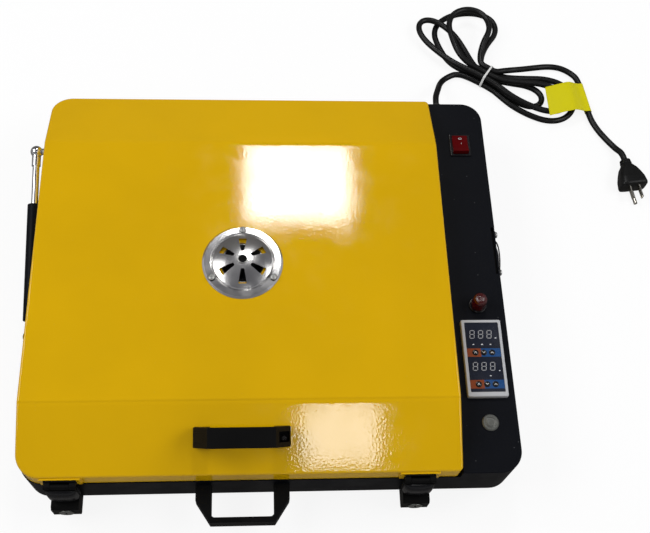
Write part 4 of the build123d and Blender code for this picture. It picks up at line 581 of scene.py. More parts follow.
def hank_loop(side, first, last, low, high, far, reach, width, lean, power, count):
    """A petal: reach (1 - cos t) / 2 along its axis and width sin t sin(t/2)^power across it, t from 0 to 2 pi,
    blended from its row in to its row out, with the axis leaning more the farther it is from the waist."""
    t = np.concatenate([[0], np.linspace(*PETAL_SPAN, count), [2 * np.pi]])
    share, out = eased(t / (2 * np.pi)), (1 - np.cos(t)) / 2
    lean = math.radians(lean)
    angle = lean * (LEAN_AT_WAIST + (1 - LEAN_AT_WAIST) * eased(out / 0.6))
    axis = np.column_stack([side * np.cos(angle), np.sin(angle)])
    wide = np.column_stack([-side * np.sin(angle), np.cos(angle)])
    swing = math.copysign(width / 2, first - last) * WIDTH_GAIN * np.sin(t) * np.sin(t / 2) ** power
    start, end = (np.array([side * WAIST_HALF, row * STRAND_PITCH]) for row in (first, last))
    flat = start * (1 - share)[:, None] + end * share[:, None]
    reach = reach * REACH_GAIN - WAIST_HALF * math.cos(lean)
    flat = flat + axis * (reach * out)[:, None] + wide * swing[:, None]
    lift = eased(out / 0.4)
    low_z, high_z = WAIST_LIFT + low * LAYER_PITCH, WAIST_LIFT + high * LAYER_PITCH
    z = (low_z * (1 - share) + high_z * share) * (1 - lift) + (TABLE_LIFT + far * LAYER_PITCH) * lift
    return np.column_stack([flat, z])


def lead_route(count):
    """The lead's control points: out of the gland, down to the table, through the hank's loops and on to the plug.
    Also the places of its two ends and the way the plug points."""
    x, _, z = middle_of("cord_gland")
    tip = np.array([x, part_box("cord_gland")[1].y, z])
    way_in = [[tip], [tip + [0, 12 * MM, 0]],
              by_case((224, 290.5, 28.5), (228.6, 304, 19), (233, 318, 9.5), (239.5, 329.0, 5.0),
                      (248.5, 335.6, 4.4)),
              on_waist([(-38, -1.5 * STRAND_PITCH - 6.3, WAIST_LIFT - 1.0),
                        (-24, -1.5 * STRAND_PITCH - 1.5, WAIST_LIFT)])]
    loops = [on_waist(hank_loop(*loop, count)) for loop in HANK_LOOPS]
    top, radius, turn = WAIST_LIFT + LAYER_PITCH, 18, math.radians(42.0)
    turned = np.array([radius * math.sin(turn), STRAND_PITCH + radius * (1 - math.cos(turn)), top])
    heading = np.array([math.cos(turn), math.sin(turn), 0])
    plug_way = np.array([0.12, -1.0, 0]) / math.hypot(0.12, 1.0)
    plug = by_case((470.8, 196.0, 12.5))
    way_out = [on_waist([(-4, STRAND_PITCH, top), (8, STRAND_PITCH, top), turned + heading * 5,
                         turned + heading * 19]),
               by_case((350, 344, 11.5), (370, 351, 6), (390, 355, 4), (407, 353, 4), (421, 344.5, 4),
                       (430.7, 331, 5.15), (435.9, 272.3, 5.15), (443.5, 252, 4), (454, 234.5, 4),
                       (464.5, 216.5, 7)),
               plug - plug_way * 11 * MM, plug]
    return np.vstack(way_in + loops + way_out), tip, plug[0], plug_way


def spline_points(curve):
    """Points along a curve object's own line, in the row frame."""
    copy = curve.copy()
    copy.data = curve.data.copy()
    copy.data.bevel_depth = 0
    bpy.context.scene.collection.objects.link(copy)
    bpy.context.view_layer.update()
    mesh = bpy.data.meshes.new_from_object(copy.evaluated_get(bpy.context.evaluated_depsgraph_get()))
    points = np.zeros(len(mesh.vertices) * 3)
    mesh.vertices.foreach_get("co", points)
    data = copy.data
    bpy.data.objects.remove(copy)
    bpy.data.curves.remove(data)
    return points.reshape(-1, 3)


class OVEN_OT_lead(bpy.types.Operator):
    """Lays the mains lead with its hank, tie, paper label and plug"""
    bl_idname = "oven.lead"
    bl_label = "Mains lead"

    def execute(self, context):
        lead = context.scene.oven_lead
        route, tip, plug, plug_way = lead_route(lead.loop_points)
        data = bpy.data.curves.new("mains_lead", "CURVE")
        data.dimensions = "3D"
        spline = data.splines.new("NURBS")
        spline.points.add(len(route) - 1)
        spline.points.foreach_set("co", np.column_stack([route, np.ones(len(route))]).ravel())
        spline.order_u = 3
        spline.use_endpoint_u = True
        spline.resolution_u = 6
        data.bevel_depth = lead.diameter / 2
        data.bevel_resolution = 5
        data.use_fill_caps = True
        curve = bpy.data.objects.new("mains_lead", data)
        context.scene.collection.objects.link(curve)
        dress(curve, "lead_rubber", "base", "power_cord", "power_cord", "cord_hank")
        line = spline_points(curve)
        tie = self.tie(line)
        label = self.label(line)
        plug_body, ribs = self.plug(plug, plug_way)
        return {"FINISHED"}

    def tie(self, line):
        """A flat band round the waist: the hull of the strands there, grown and closed as a rounded loop."""
        core, grown = 10 * MM, 4.4 * MM
        middle = on_waist([0, 0, 0])[0]
        near = line[np.abs((line - middle) @ WAIST_ALONG) < 6 * MM]
        near = near[np.linalg.norm(near - middle, axis=1) < 30 * MM]
        side, height = (near - middle) @ WAIST_ACROSS, near[:, 2]
        a = round_angles(72)
        reach = (side[:, None] * np.cos(a) + (height[:, None] - core) * np.sin(a)).max(axis=0) + grown
        step = np.gradient(np.concatenate([reach[-2:], reach, reach[:2]]))[2:-2] / (a[1] - a[0])
        u, v = reach * np.cos(a) - step * np.sin(a), reach * np.sin(a) + step * np.cos(a)
        v = np.maximum(v + core, 0.6 * MM)
        loop = middle + WAIST_ACROSS * u[:, None] + UP * v[:, None]
        widths = np.array([-1.3, -1.0, 1.0, 1.3]) * MM
        bulge = np.array([0, 0.25, 0.25, 0]) * MM
        out = WAIST_ACROSS * np.cos(a)[:, None] + UP * np.sin(a)[:, None]
        points = loop[:, None] + WAIST_ALONG * widths[None, :, None] + out[:, None] * bulge[None, :, None]
        points[..., 2] = np.maximum(points[..., 2], 0.4 * MM)
        band = put_mesh("lead_tie", points, grid_faces(len(a), 4, close_rows=True))
        thicken(band, 0.5 * MM)
        return dress(band, "tie_plastic", "base", "cord_tie", "cord_tie")

    def label(self, line):
        """A paper label folded round the lead: a circle arc round it that runs out into a flat flag, whose height
        rises to a step and then curls as sin(pi s), and which leans along the lead by its distance from it."""
        half_width, radius, length = 23 * MM, 4.45 * MM, 59 * MM
        step, curl, cup, splay, lean = 11.2 * MM, 0.8 * MM, 0.7 * MM, 2.5 * MM, 9 * MM
        low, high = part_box("cord_tag")
        run = line[(line[:, 1] > low.y + MM) & (line[:, 1] < high.y - MM) & (line[:, 0] > high.x - 30 * MM)]
        start, end = run[np.argmax(run[:, 1])], run[np.argmin(run[:, 1])]
        way = (end - start) / np.linalg.norm(end - start)
        out = np.array([way[1], -way[0], 0])
        out = out if out[0] < 0 else -out
        s, v = np.linspace(0, 1, 33)[1:], np.linspace(-1, 1, 25)
        turn = np.radians(np.linspace(-200, 90, 25))
        rise = step * eased(s / 0.45) + curl * np.sin(np.pi * s)
        profile_x = np.concatenate([-radius * np.cos(turn), length * s])
        profile_z = np.concatenate([radius * np.sin(turn), radius + rise])
        share = np.concatenate([0 * turn, s])[:, None]
        height = profile_z[:, None] + cup * share * v ** 2
        side = profile_x[:, None] + splay * share * v
        along = v * half_width + lean * share
        points = (start + end) / 2 + out * side[..., None] + way * along[..., None] + UP * height[..., None]
        paper = put_mesh("lead_label", points, grid_faces(*side.shape))
        thicken(paper, 0.22 * MM, 1.0)
        return dress(paper, "label_paper", "base", "cord_tag", "cord_tag")

    def plug(self, start, way):
        """The plug's body: superellipse sections |x/w|^n + |z/d|^n = 1 along its way, with a ribbed neck."""
        side = np.array([-way[1], way[0], 0])
        table = np.array([  # along, half width, half depth, power, in millimetres
            (0, 0.01, 0.01, 2.0), (0.05, 5.0, 5.0, 2.0), (1.0, 6.3, 6.2, 2.0), (8, 7.2, 6.8, 2.2),
            (11, 9.0, 7.6, 2.6), (15, 12.0, 8.6, 3.2), (22, 14.6, 10.0, 4.0), (30, 16.9, 11.6, 4.6),
            (39, 17.9, 12.3, 5.0), (41.3, 17.5, 11.9, 5.0), (41.9, 16.4, 11.0, 5.0), (42.0, 0.01, 0.01, 5.0)])
        stations = np.unique(np.concatenate([table[:, 0], np.linspace(0, 41, 42)]))
        w, d, power = (np.interp(stations, table[:, 0], table[:, column])[:, None] for column in (1, 2, 3))
        a = round_angles(56)
        u, v = squared(a, 2 / power)
        points = start + (way * stations[:, None, None] + side * (w * u)[..., None] + UP * (d * v)[..., None]) * MM
        body = put_mesh("plug_shell", points, grid_faces(len(stations), len(a), close_columns=True))
        dress(body, "lead_rubber", "base", "plug_body", "plug_body")
        circle = side * np.cos(a)[:, None] + UP * np.sin(a)[:, None]
        tubes = []
        for place in (2.0, 4.2, 6.4):
            width = np.interp(place, table[:, 0], table[:, 1]) * MM
            tube, faces = swept_tube(start + way * place * MM + width * circle, 0.7 * MM)
            tubes.append(tube)
        ribs = put_mesh("plug_neck_ribs", np.vstack(tubes), faces, parts=len(tubes))
        dress(ribs, "lead_rubber", "base", "plug_body")
        return body, ribs


# Controller

SEGMENTS = {  # middle x, middle y, half length, 1 where it stands upright, in millimetres
    "a": (0, 4.6, 2.1, 0), "b": (2.45, 2.3, 2.05, 1), "c": (2.45, -2.3, 2.05, 1), "d": (0, -4.6, 2.1, 0),
    "e": (-2.45, -2.3, 2.05, 1), "f": (-2.45, 2.3, 2.05, 1), "g": (0, 0, 2.1, 0),
}
# Figures and lamps on the face, in millimetres from its middle line and its rear edge
FIGURE_ROWS, FIGURE_PITCH, FACE_SHIFT = (14.1, 52.3), 9.7, 1.6
LAMP_SPOTS = ((-9.4, 26.2), (0.4, 26.2), (10.0, 26.2), (6.4, 63.4), (16.6, 18.6), (16.9, 57.5))
# Marks of the keys: places and turns of their bars, and half a bar's length
KEY_MARKS = {
    "set": (((0.0, 0.9, 0), (-0.85, -0.35, 62), (0.85, -0.35, -62)), 0.95),
    "down": (((-0.72, 0.2, -45), (0.72, 0.2, 45)), 1.3),
    "up": (((-0.72, -0.2, 45), (0.72, -0.2, -45)), 1.3),
}


def bar_outline(x, y, half, upright, width=0.47, slant=0.10):
    """A six-sided bar round (x, y), with a slant added to x."""
    flat = np.array([(-half, 0), (-half + width, width), (half - width, width), (half, 0), (half - width, -width),
                     (-half + width, -width)])
    if upright:
        flat = flat[:, ::-1]
    flat = flat + [x, y]
    flat[:, 0] += slant * flat[:, 1]
    return flat


def raised_piece(name, outlines, top, depth):
    """Flat shapes given as outlines with the same number of corners, each made a low block under height top."""
    outlines = np.asarray(outlines, float)
    count = outlines.shape[1]
    centre = outlines.mean(axis=1, keepdims=True)
    levels = []
    for height, grow in ((top - depth, 1.0), (top - depth * 0.3, 1.0), (top, 0.86)):
        ring = centre + (outlines - centre) * grow
        levels.append(np.concatenate([ring, np.full((*ring.shape[:2], 1), height)], axis=2))
    faces = grid_faces(3, count, close_columns=True).tolist()
    faces += [range(2 * count, 3 * count), range(count - 1, -1, -1)]
    return put_mesh(name, np.stack(levels, axis=1), faces, smooth=False, parts=len(outlines))


class OVEN_OT_display(bpy.types.Operator):
    """Adds the two rows of figures and the small lamps to the controller's face"""
    bl_idname = "oven.display"
    bl_label = "Controller face"

    def execute(self, context):
        top, back = FACE_HIGH.z, FACE_HIGH.y
        middle = middle_of("controller_face")[0] - FACE_SHIFT * MM
        outlines = [bar_outline(*segment) * MM + [middle + step * FIGURE_PITCH * MM, back - row * MM]
                    for row in FIGURE_ROWS for step in (-1, 0, 1) for segment in SEGMENTS.values()]
        figures = raised_piece("display_figures", outlines, top + 0.16 * MM, 0.24 * MM)
        dress(figures, self.glow("figure_segments", 0.02), "base", "controller_face")
        a = round_angles(12)
        ring = np.column_stack([np.cos(a) * 1.1, np.sin(a) * 0.6]) * MM
        outlines = [ring + [middle + x * MM, back - y * MM] for x, y in LAMP_SPOTS]
        lamps = raised_piece("display_lamps", outlines, top + 0.14 * MM, 0.2 * MM)
        dress(lamps, self.glow("lamp_dots", 0.08), "base", "controller_face")
        self.face_film()
        return {"FINISHED"}

    def glow(self, name, strength):
        """A finish that also shines faintly."""
        material = finish(name)
        feed(nodes_of(material)[1], {"Emission Color": (0.9, 0.93, 1.0, 1), "Emission Strength": strength})
        return material

    def face_film(self):
        """The printed film: dark blue, with an orange field and a blue field behind each row of keys."""
        material = finish("printed_film")
        tree, shader = nodes_of(material)
        axes = axes_of(tree, own_place(tree))
        right_side = maths(tree, "GREATER_THAN", axes[0], FACE_LOW.x + 16.0 * MM)
        field = mixed(tree, right_side, (0.24, 0.052, 0.014, 1), (0.010, 0.065, 0.21, 1))
        rows = [maths(tree, "LESS_THAN", distance(tree, axes[1], middle_of(key)[1]), 5.0 * MM)
                for key in ("temperature_set_key", "time_set_key")]
        film = shader.inputs["Base Color"].links[0].from_socket
        feed(shader, {"Base Color": mixed(tree, maths(tree, "MAXIMUM", *rows), film, field)})
        coat(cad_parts["controller_face"], material)


class OVEN_OT_keys(bpy.types.Operator):
    """Caps the six keys and puts an arrow or a set mark on each"""
    bl_idname = "oven.keys"
    bl_label = "Controller keys"

    def execute(self, context):
        for row in ("temperature", "time"):
            for kind, (bars, half) in KEY_MARKS.items():
                self.key(f"{row}_{kind}_key", bars, half)
        return {"FINISHED"}

    def key(self, name, bars, half):
        """A round key with a soft edge, and its mark: bars laid as an arrow or round a triangle."""
        low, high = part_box(name)
        x, y, _ = middle_of(name)
        radius, depth = (high.x - low.x) / 2, high.z - low.z
        profile = [(0, 0), (radius, 0), (radius, depth - 0.35 * MM), (radius - 0.1 * MM, depth - 0.12 * MM),
                   (radius - 0.35 * MM, depth), (radius * 0.5, depth - 0.05 * MM), (0, depth - 0.08 * MM)]
        cap = turned_piece(f"{name}_cap", profile, (x, y, low.z), count=32)
        dress(cap, "gloss_plastic", name, name, name)
        outlines = []
        for u, v, turn in bars:
            cos, sin = math.cos(math.radians(turn)), math.sin(math.radians(turn))
            shape = bar_outline(0, 0, half, 0, width=0.3, slant=0) @ np.array([[cos, sin], [-sin, cos]])
            outlines.append((shape + [u, v]) * MM + [x, y])
        mark = raised_piece(f"{name}_mark", outlines, high.z + 0.10 * MM, 0.3 * MM)
        dress(mark, "mark_white", name, name)


# Switches and lamp

class OVEN_OT_rocker(bpy.types.Operator):
    """Marks the rocker switch with its ring and its bar"""
    bl_idname = "oven.rocker"
    bl_label = "Rocker marks"

    def execute(self, context):
        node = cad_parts["rocker_key"]
        points = np.array([v.co for v in node.data.vertices])
        x, back = middle_of("rocker_key")[0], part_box("rocker_key")[1].y
        ring = self.on_key(points, x, back - 5.0 * MM, 1.9 * MM, 1.6 * MM, 0.76)
        bar = self.on_key(points, x + 1.0 * MM, back - 12.5 * MM, 0.22 * MM, 1.2 * MM, 0.05)
        faces = grid_faces(4, 40, close_rows=True, close_columns=True)
        mark = put_mesh("rocker_marks", np.vstack([ring, bar]), faces, parts=2)
        dress(mark, "mark_white", "rocker_key", "rocker_key")
        return {"FINISHED"}

    def on_key(self, points, x, y, half_x, half_y, inner):
        """A low ring laid on the key's face at that place: (cos a, sin a) times the half sizes, and times the inner
        share of them."""
        near = points[np.abs(points[:, 0] - x) < 20 * MM]
        top = near[near[:, 2] > near[:, 2].mean()]
        ends = top[:, 1].min(), top[:, 1].max()
        front, rear = (top[np.abs(top[:, 1] - end) < 0.1 * MM, 2].max() for end in ends)
        a = round_angles(40)
        rings = []
        for share, height in ((1.0, 0.02), (1.0, 0.14), (inner, 0.14), (inner, 0.02)):
            px, py = x + half_x * share * np.cos(a), y + half_y * share * np.sin(a)
            pz = front + (rear - front) * (py - ends[0]) / (ends[1] - ends[0]) + height * MM
            rings.append(np.column_stack([px, py, pz]))
        return np.vstack(rings)


class OVEN_OT_button(bpy.types.Operator):
    """Turns the push button's cap with its grooves and dish"""
    bl_idname = "oven.button"
    bl_label = "Push button"

    def execute(self, context):
        low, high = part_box("push_button_cap")
        radius, top = (high.x - low.x) / 2, high.z - low.z
        rim = np.array([(6.0, -0.5), (5.7, -0.05), (5.35, 0.0), (5.2, -0.5), (4.9, -0.55), (4.75, -0.1),
                        (4.5, -0.02), (3.0, -0.18), (1.5, -0.26), (0, -0.28)]) * [radius / 6.0, MM] + [0, top]
        profile = np.vstack([[(0, 0), (radius, 0)], rim])
        cap = turned_piece("button_cap", profile, (*middle_of("push_button_cap")[:2], low.z), count=64)
        dress(cap, "button_metal", "push_button_cap", "push_button_cap", "push_button_cap")
        return {"FINISHED"}


class OVEN_OT_lamp(bpy.types.Operator):
    """Makes the pilot lamp's red lens with its inner steps"""
    bl_idname = "oven.lamp"
    bl_label = "Pilot lamp"

    def execute(self, context):
        low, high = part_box("lamp_lens")
        x, y, _ = middle_of("lamp_lens")
        radius, height = (high.x - low.x) / 2, high.z - low.z
        dome, taper = 6.2 * MM, 0.35 * MM
        profile = [(0, 0)] + [(radius - taper * s, (height - dome) * s) for s in np.linspace(0, 1, 9)]
        profile += [((radius - taper) * math.cos(t), height - dome + dome * math.sin(t))
                    for t in np.linspace(0, np.pi / 2, 14)[1:]]
        lens = turned_piece("lamp_dome", profile, (x, y, low.z), count=64)
        dress(lens, self.red_glass((x, y, low.z)), "base", "lamp_lens", "lamp_lens")
        return {"FINISHED"}

    def red_glass(self, foot):
        """Red lens: bumps sin(24 a) round the axis and sin(2600 z) along it, with painted shade that makes its colour
        darker between the ribs and lighter on them.
        """
        material, tree, shader = new_material("red_lens")
        place = add_node(tree, "ShaderNodeVectorMath", {0: own_place(tree), 1: foot}, operation="SUBTRACT")
        axes = axes_of(tree, place.outputs[0])
        ribs = maths(tree, "SINE", times(tree, maths(tree, "ARCTAN2", axes[1], axes[0]), 24.0))
        steps = maths(tree, "SINE", times(tree, axes[2], 2600.0))
        # Painted shade: the darker red goes between the ribs and the lighter red on them
        dark, bright = (0.035, 0.001, 0.001, 1), (0.075, 0.002, 0.003, 1)
        feed(shader, {"Base Color": mixed(tree, ranged(tree, ribs, -1, 1), dark, bright),
                      "Normal": bump(tree, plus(tree, ribs, steps), 0.35, 0.2 * MM),
                      "Roughness": 0.09, "Coat Weight": 0.6, "Coat Roughness": 0.04, "IOR": 1.49})
        return material


# Screws

class OVEN_OT_screws(bpy.types.Operator):
    """Makes the cross-recessed screws of the vent, the handles and the fan guard, and the vent's rivet"""
    bl_idname = "oven.screws"
    bl_label = "Screws"

    def execute(self, context):
        self.vent_screws()
        slope = math.atan2(LID_DROP, LID_FRONT_RUN)
        out = Vector((0, -math.sin(slope), math.cos(slope)))
        seat = Vector((LID_X, LID_LOW.y + LID_FRONT_RUN / 2, LID_HIGH.z - LID_DROP / 2)) + out * HANDLE_SEAT
        spots = [(seat + Vector((side * HANDLE_SCREW, 0, 0)), out) for side in (-1, 1)]
        self.heads("handle_screw_heads", spots, "dark_screw", "lid", "lid_screws")
        self.rivet()
        _, y, z = middle_of("fan_guard")
        face = CASE_HIGH.x + 2.2 * MM
        spots = [((face, y + u * FAN_SCREW, z + v * FAN_SCREW), (1, 0, 0)) for u in (-1, 1) for v in (-1, 1)]
        z = middle_of("front_handle")[2]
        spots += [((LID_X + side * HANDLE_SCREW, CASE_LOW.y - HANDLE_SEAT, z), (0, -1, 0)) for side in (-1, 1)]
        self.heads("case_screw_heads", spots, "zinc_steel", "base", "base_screws")
        return {"FINISHED"}

    def vent_screws(self):
        """The vent's three screws, each ringed by a thin dark torus just outside its head that paints the shade under
        the head's edge.
        """
        places = [(VENT.x + VENT_SCREW * math.cos(t), VENT.y + VENT_SCREW * math.sin(t), VENT.z + 2.9 * MM)
                  for t in np.radians((90, 210, 330))]
        spots = [(place, (0, 0, 1)) for place in places]
        self.heads("vent_screw_heads", spots, "zinc_steel", "lid", "lid_screws")
        # Painted shade: a thin black ring round each head stands in for the shadow at its edge
        shade_rings = turned_piece("vent_screw_shade_rings", wire_section(3.75, 0.3, 0.4) * MM, places)
        dress(shade_rings, "black_plastic", "lid", "lid_screws")

    def rivet(self):
        """The vent's black rivet in a bright ring."""
        centre = (VENT.x, VENT.y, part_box("vent_shutter")[1].z)
        profile = np.array([(0, 0.25), (1.2, 0.25), (1.7, 0.45), (3.2, 0.4), (4.4, 0.15), (4.8, -0.3),
                            (4.8, -1.2), (0, -1.2)]) * MM
        rivet = turned_piece("vent_rivet", profile, centre)
        dress(rivet, "black_plastic", "vent_shutter", "vent_shutter")
        washer = turned_piece("vent_rivet_ring", wire_section(4.9, -0.8, 0.45) * MM, centre, count=64)
        dress(washer, "zinc_steel", "vent_shutter", "vent_shutter")

    def heads(self, name, spots, material, body, node):
        """Pan heads: z = height (1 - 0.45 (r/R)^4) less a cross-shaped hollow whose depth falls towards its ends,
        closed below by a rim and a short shank."""
        r, a = np.linspace(0, 1, 26)[:, None], round_angles(72)
        u, v = r * np.cos(a), r * np.sin(a)
        half_width, half_length, depth = 0.13 - 0.03 * r, 0.62, 0.62 * (1.1 - r)
        arms = [eased((half_width - np.abs(p)) / 0.07) * eased((half_length - np.abs(q)) / 0.1)
                for p, q in ((u, v), (v, u))]
        z = HEAD_HEIGHT * (1 - 0.45 * r ** 4) - np.maximum(*arms) * HEAD_HEIGHT * depth
        top = np.stack([u * HEAD_RADIUS, v * HEAD_RADIUS, z], axis=-1)
        rim = np.array([(1.0, 0.12), (0.99, 0.0), (0.5, 0.0), (0.5, -2.4), (0.45, -2.6), (0, -2.6)])
        share, height = rim[:, :1] * HEAD_RADIUS, rim[:, 1:] * HEAD_HEIGHT
        under = np.stack([share * np.cos(a), share * np.sin(a), height + 0 * a], axis=-1)
        shape = np.concatenate([top, under]).reshape(-1, 3)
        points = np.vstack([shape @ turn_to(way).T + np.array(place) for place, way in spots])
        faces = grid_faces(len(top) + len(under), len(a), close_columns=True)
        dress(put_mesh(name, points, faces, parts=len(spots)), material, body, node, node)


# Latches

class OVEN_OT_latches(bpy.types.Operator):
    """Adds the moulded rounded shells of the two front hasps"""
    bl_idname = "oven.latches"
    bl_label = "Latch shells"

    def execute(self, context):
        for side in ("left", "right"):
            self.shell(f"{side}_hasp")
        return {"FINISHED"}

    def shell(self, name):
        """Sections |x/w|^n + |z/h|^n = 1 stacked from the hasp's back to its nose, t from 0 to 1: w and h fall as
        sqrt(1 - (0.93 t)^5) and n falls from 7 to 3.5."""
        low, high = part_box(name)
        back, depth = high.y - 1.4 * MM, 10.5 * MM
        half_x, bottom, top = (high.x - low.x) / 2 + 0.4 * MM, low.z - 0.3 * MM, high.z - 6.9 * MM
        middle_x, middle_z, half_z = middle_of(name)[0], (bottom + top) / 2, (top - bottom) / 2
        t = np.concatenate([[0, 0], np.linspace(0.05, 1, 22), [1.0]])[:, None]
        fall = np.sqrt(np.clip(1 - (0.93 * t) ** 5, 0, 1))
        fall[0] = fall[-1] = 0.001
        u, v = squared(round_angles(64), 2 / (7 - 3.5 * t))
        x = middle_x + half_x * fall * (1 - 0.10 * t) * u
        z = middle_z + half_z * fall * (1 - 0.06 * t) * v - half_z * 0.04 * t
        y = np.broadcast_to(back - depth * t, x.shape)
        points = np.stack([x, y, np.maximum(z, bottom)], axis=-1)
        piece = put_mesh(f"{name}_shell", points, grid_faces(*x.shape, close_columns=True))
        dress(piece, "gloss_plastic", name, name)


# Fan

# Radii of the guard's rings in millimetres and of its wire, and the blades' root, length, count and thickness
GUARD_RINGS, GUARD_WIRE = (26.2, 19.2, 12.2, 5.2), 0.85 * MM
BLADE_ROOT, BLADE_LENGTH, BLADES, BLADE_DEPTH = 15.4 * MM, 10.8 * MM, 7, 0.9 * MM


class OVEN_OT_fan(bpy.types.Operator):
    """Makes the fan's wire guard and its twisted blades"""
    bl_idname = "oven.fan"
    bl_label = "Fan guard and blades"

    def execute(self, context):
        _, y, z = middle_of("fan_guard")
        self.guard(y, z)
        self.rotor(y, z)
        return {"FINISHED"}

    def guard(self, y, z):
        """Round rings on four spokes, each spoke bent in towards its screw eye."""
        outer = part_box("fan_guard")[1].x
        a, s = round_angles(72), np.linspace(0, 1, 24)
        reach = (FAN_SCREW * math.sqrt(2) - 3.2 * MM) / math.sqrt(2)
        bent_in = outer - GUARD_WIRE * 2.6 - 1.2 * MM * eased((s - 0.8) / 0.2)
        rounded_ends = GUARD_WIRE * np.sqrt(np.clip(60 * s * (1 - s), 0, 1))
        tubes = [swept_tube(np.column_stack([np.full(72, outer - GUARD_WIRE), y + ring * MM * np.cos(a),
                                             z + ring * MM * np.sin(a)]), GUARD_WIRE) for ring in GUARD_RINGS]
        for u, v in ((1, 1), (1, -1), (-1, 1), (-1, -1)):
            spoke = np.column_stack([bent_in, y + u * reach * s, z + v * reach * s])
            centre = np.array([CASE_HIGH.x + 1.1 * MM, y + u * FAN_SCREW, z + v * FAN_SCREW])
            eye = centre + 3.9 * MM * np.column_stack([0 * a, np.cos(a), np.sin(a)])
            tubes += [swept_tube(spoke, rounded_ends, closed=False), swept_tube(eye, GUARD_WIRE * 1.2)]
        starts = np.cumsum([0] + [len(points) for points, _ in tubes])
        faces = [quad for (_, quads), start in zip(tubes, starts) for quad in (quads + start).tolist()]
        guard = put_mesh("guard_wires", np.vstack([points for points, _ in tubes]), faces)
        dress(guard, "dark_screw", "base", "fan_guard", "fan_guard")

    def rotor(self, y, z):
        """Blades: radius r from hub to tip and chord c, x = c sin(pitch), with pitch falling from 50 to 25
        degrees. Then the turned hub."""
        middle, _, _ = middle_of("fan_rotor")
        r, c = BLADE_ROOT + BLADE_LENGTH * np.linspace(0, 1, 12)[:, None], np.linspace(-0.5, 0.5, 13)[None]
        share = (r - BLADE_ROOT) / BLADE_LENGTH
        pitch = np.radians(50 - 25 * share)
        chord = 13.0 * MM * (1 + 0.25 * share)
        camber = 1.2 * MM * (1 - 4 * c ** 2)
        x = middle + np.clip(chord * c * np.sin(pitch) + camber, -4.2 * MM, 4.2 * MM)
        points = []
        for turn in np.radians(np.arange(BLADES) * 360 / BLADES):
            angle = turn + chord * c * np.cos(pitch) / r
            points.append(np.stack([x, y + r * np.cos(angle), z + r * np.sin(angle)], axis=-1))
        blades = put_mesh("fan_blades", np.stack(points), grid_faces(*x.shape), parts=BLADES)
        thicken(blades, BLADE_DEPTH)
        dress(blades, "black_plastic", "fan_rotor", "fan_rotor", "fan_rotor")
        hub = np.array([(0, 0), (14.8, 0), (15.6, 0.5), (16.0, 1.6), (16.0, 10.0), (15.0, 10.4), (14.2, 10.4),
                        (14.0, 4.0), (0, 4.0)]) * MM
        hub_place = (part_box("fan_rotor")[1].x, y, z)
        hub_piece = turned_piece("fan_hub", hub, hub_place, axis=(-1, 0, 0), count=64)
        dress(hub_piece, "black_plastic", "fan_rotor", "fan_rotor", "fan_rotor")


# Soft pieces inside

class OVEN_OT_seal(bpy.types.Operator):
    """Makes the woven rope seal between the lid and the chamber"""
    bl_idname = "oven.seal"
    bl_label = "Chamber seal"

    def execute(self, context):
        """A rounded section carried round the rim, its surface lowered by up to 5 % as cos(2 a + 1400 s)."""
        low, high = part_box("chamber_seal")
        width, height, radius = 8.0 * MM, high.z - low.z, 6.0 * MM
        inset = width / 2 + radius
        x0, x1, y0, y1 = low.x + inset, high.x - inset, low.y + inset, high.y - inset
        corner = np.linspace(0, np.pi / 2, 14)
        corners = ((x1, y1, 0), (x0, y1, 0.5 * np.pi), (x0, y0, np.pi), (x1, y0, 1.5 * np.pi))
        path = np.vstack([(x, y) + radius * np.column_stack([np.cos(corner + start), np.sin(corner + start)])
                          for x, y, start in corners])
        path = np.vstack([path, path[:1]])
        run = np.concatenate([[0], np.cumsum(np.linalg.norm(np.diff(path, axis=0), axis=1))])
        s = np.linspace(0, run[-1], 1400, endpoint=False)
        flat = np.column_stack([np.interp(s, run, path[:, 0]), np.interp(s, run, path[:, 1])])
        tangent = np.roll(flat, -1, axis=0) - np.roll(flat, 1, axis=0)
        tangent /= np.linalg.norm(tangent, axis=1)[:, None]
        out = np.column_stack([tangent[:, 1], -tangent[:, 0]])
        a = round_angles(20)
        lay = 1 - 0.05 * (0.5 + 0.5 * np.cos(2 * a[None] + s[:, None] * 1400)) * (np.sin(a)[None] > 0.05)
        u, v = squared(a, 0.7)
        across, up = 0.48 * width * u * lay, low.z + height / 2 * (1 + 0.98 * v * lay)
        points = np.concatenate([flat[:, None] + out[:, None] * across[..., None], up[..., None]], axis=2)
        seal = put_mesh("seal_rope", points, grid_faces(len(s), len(a), close_rows=True, close_columns=True))
        dress(seal, "silicone_rope", "base", "chamber_seal", "chamber_seal")
        return {"FINISHED"}


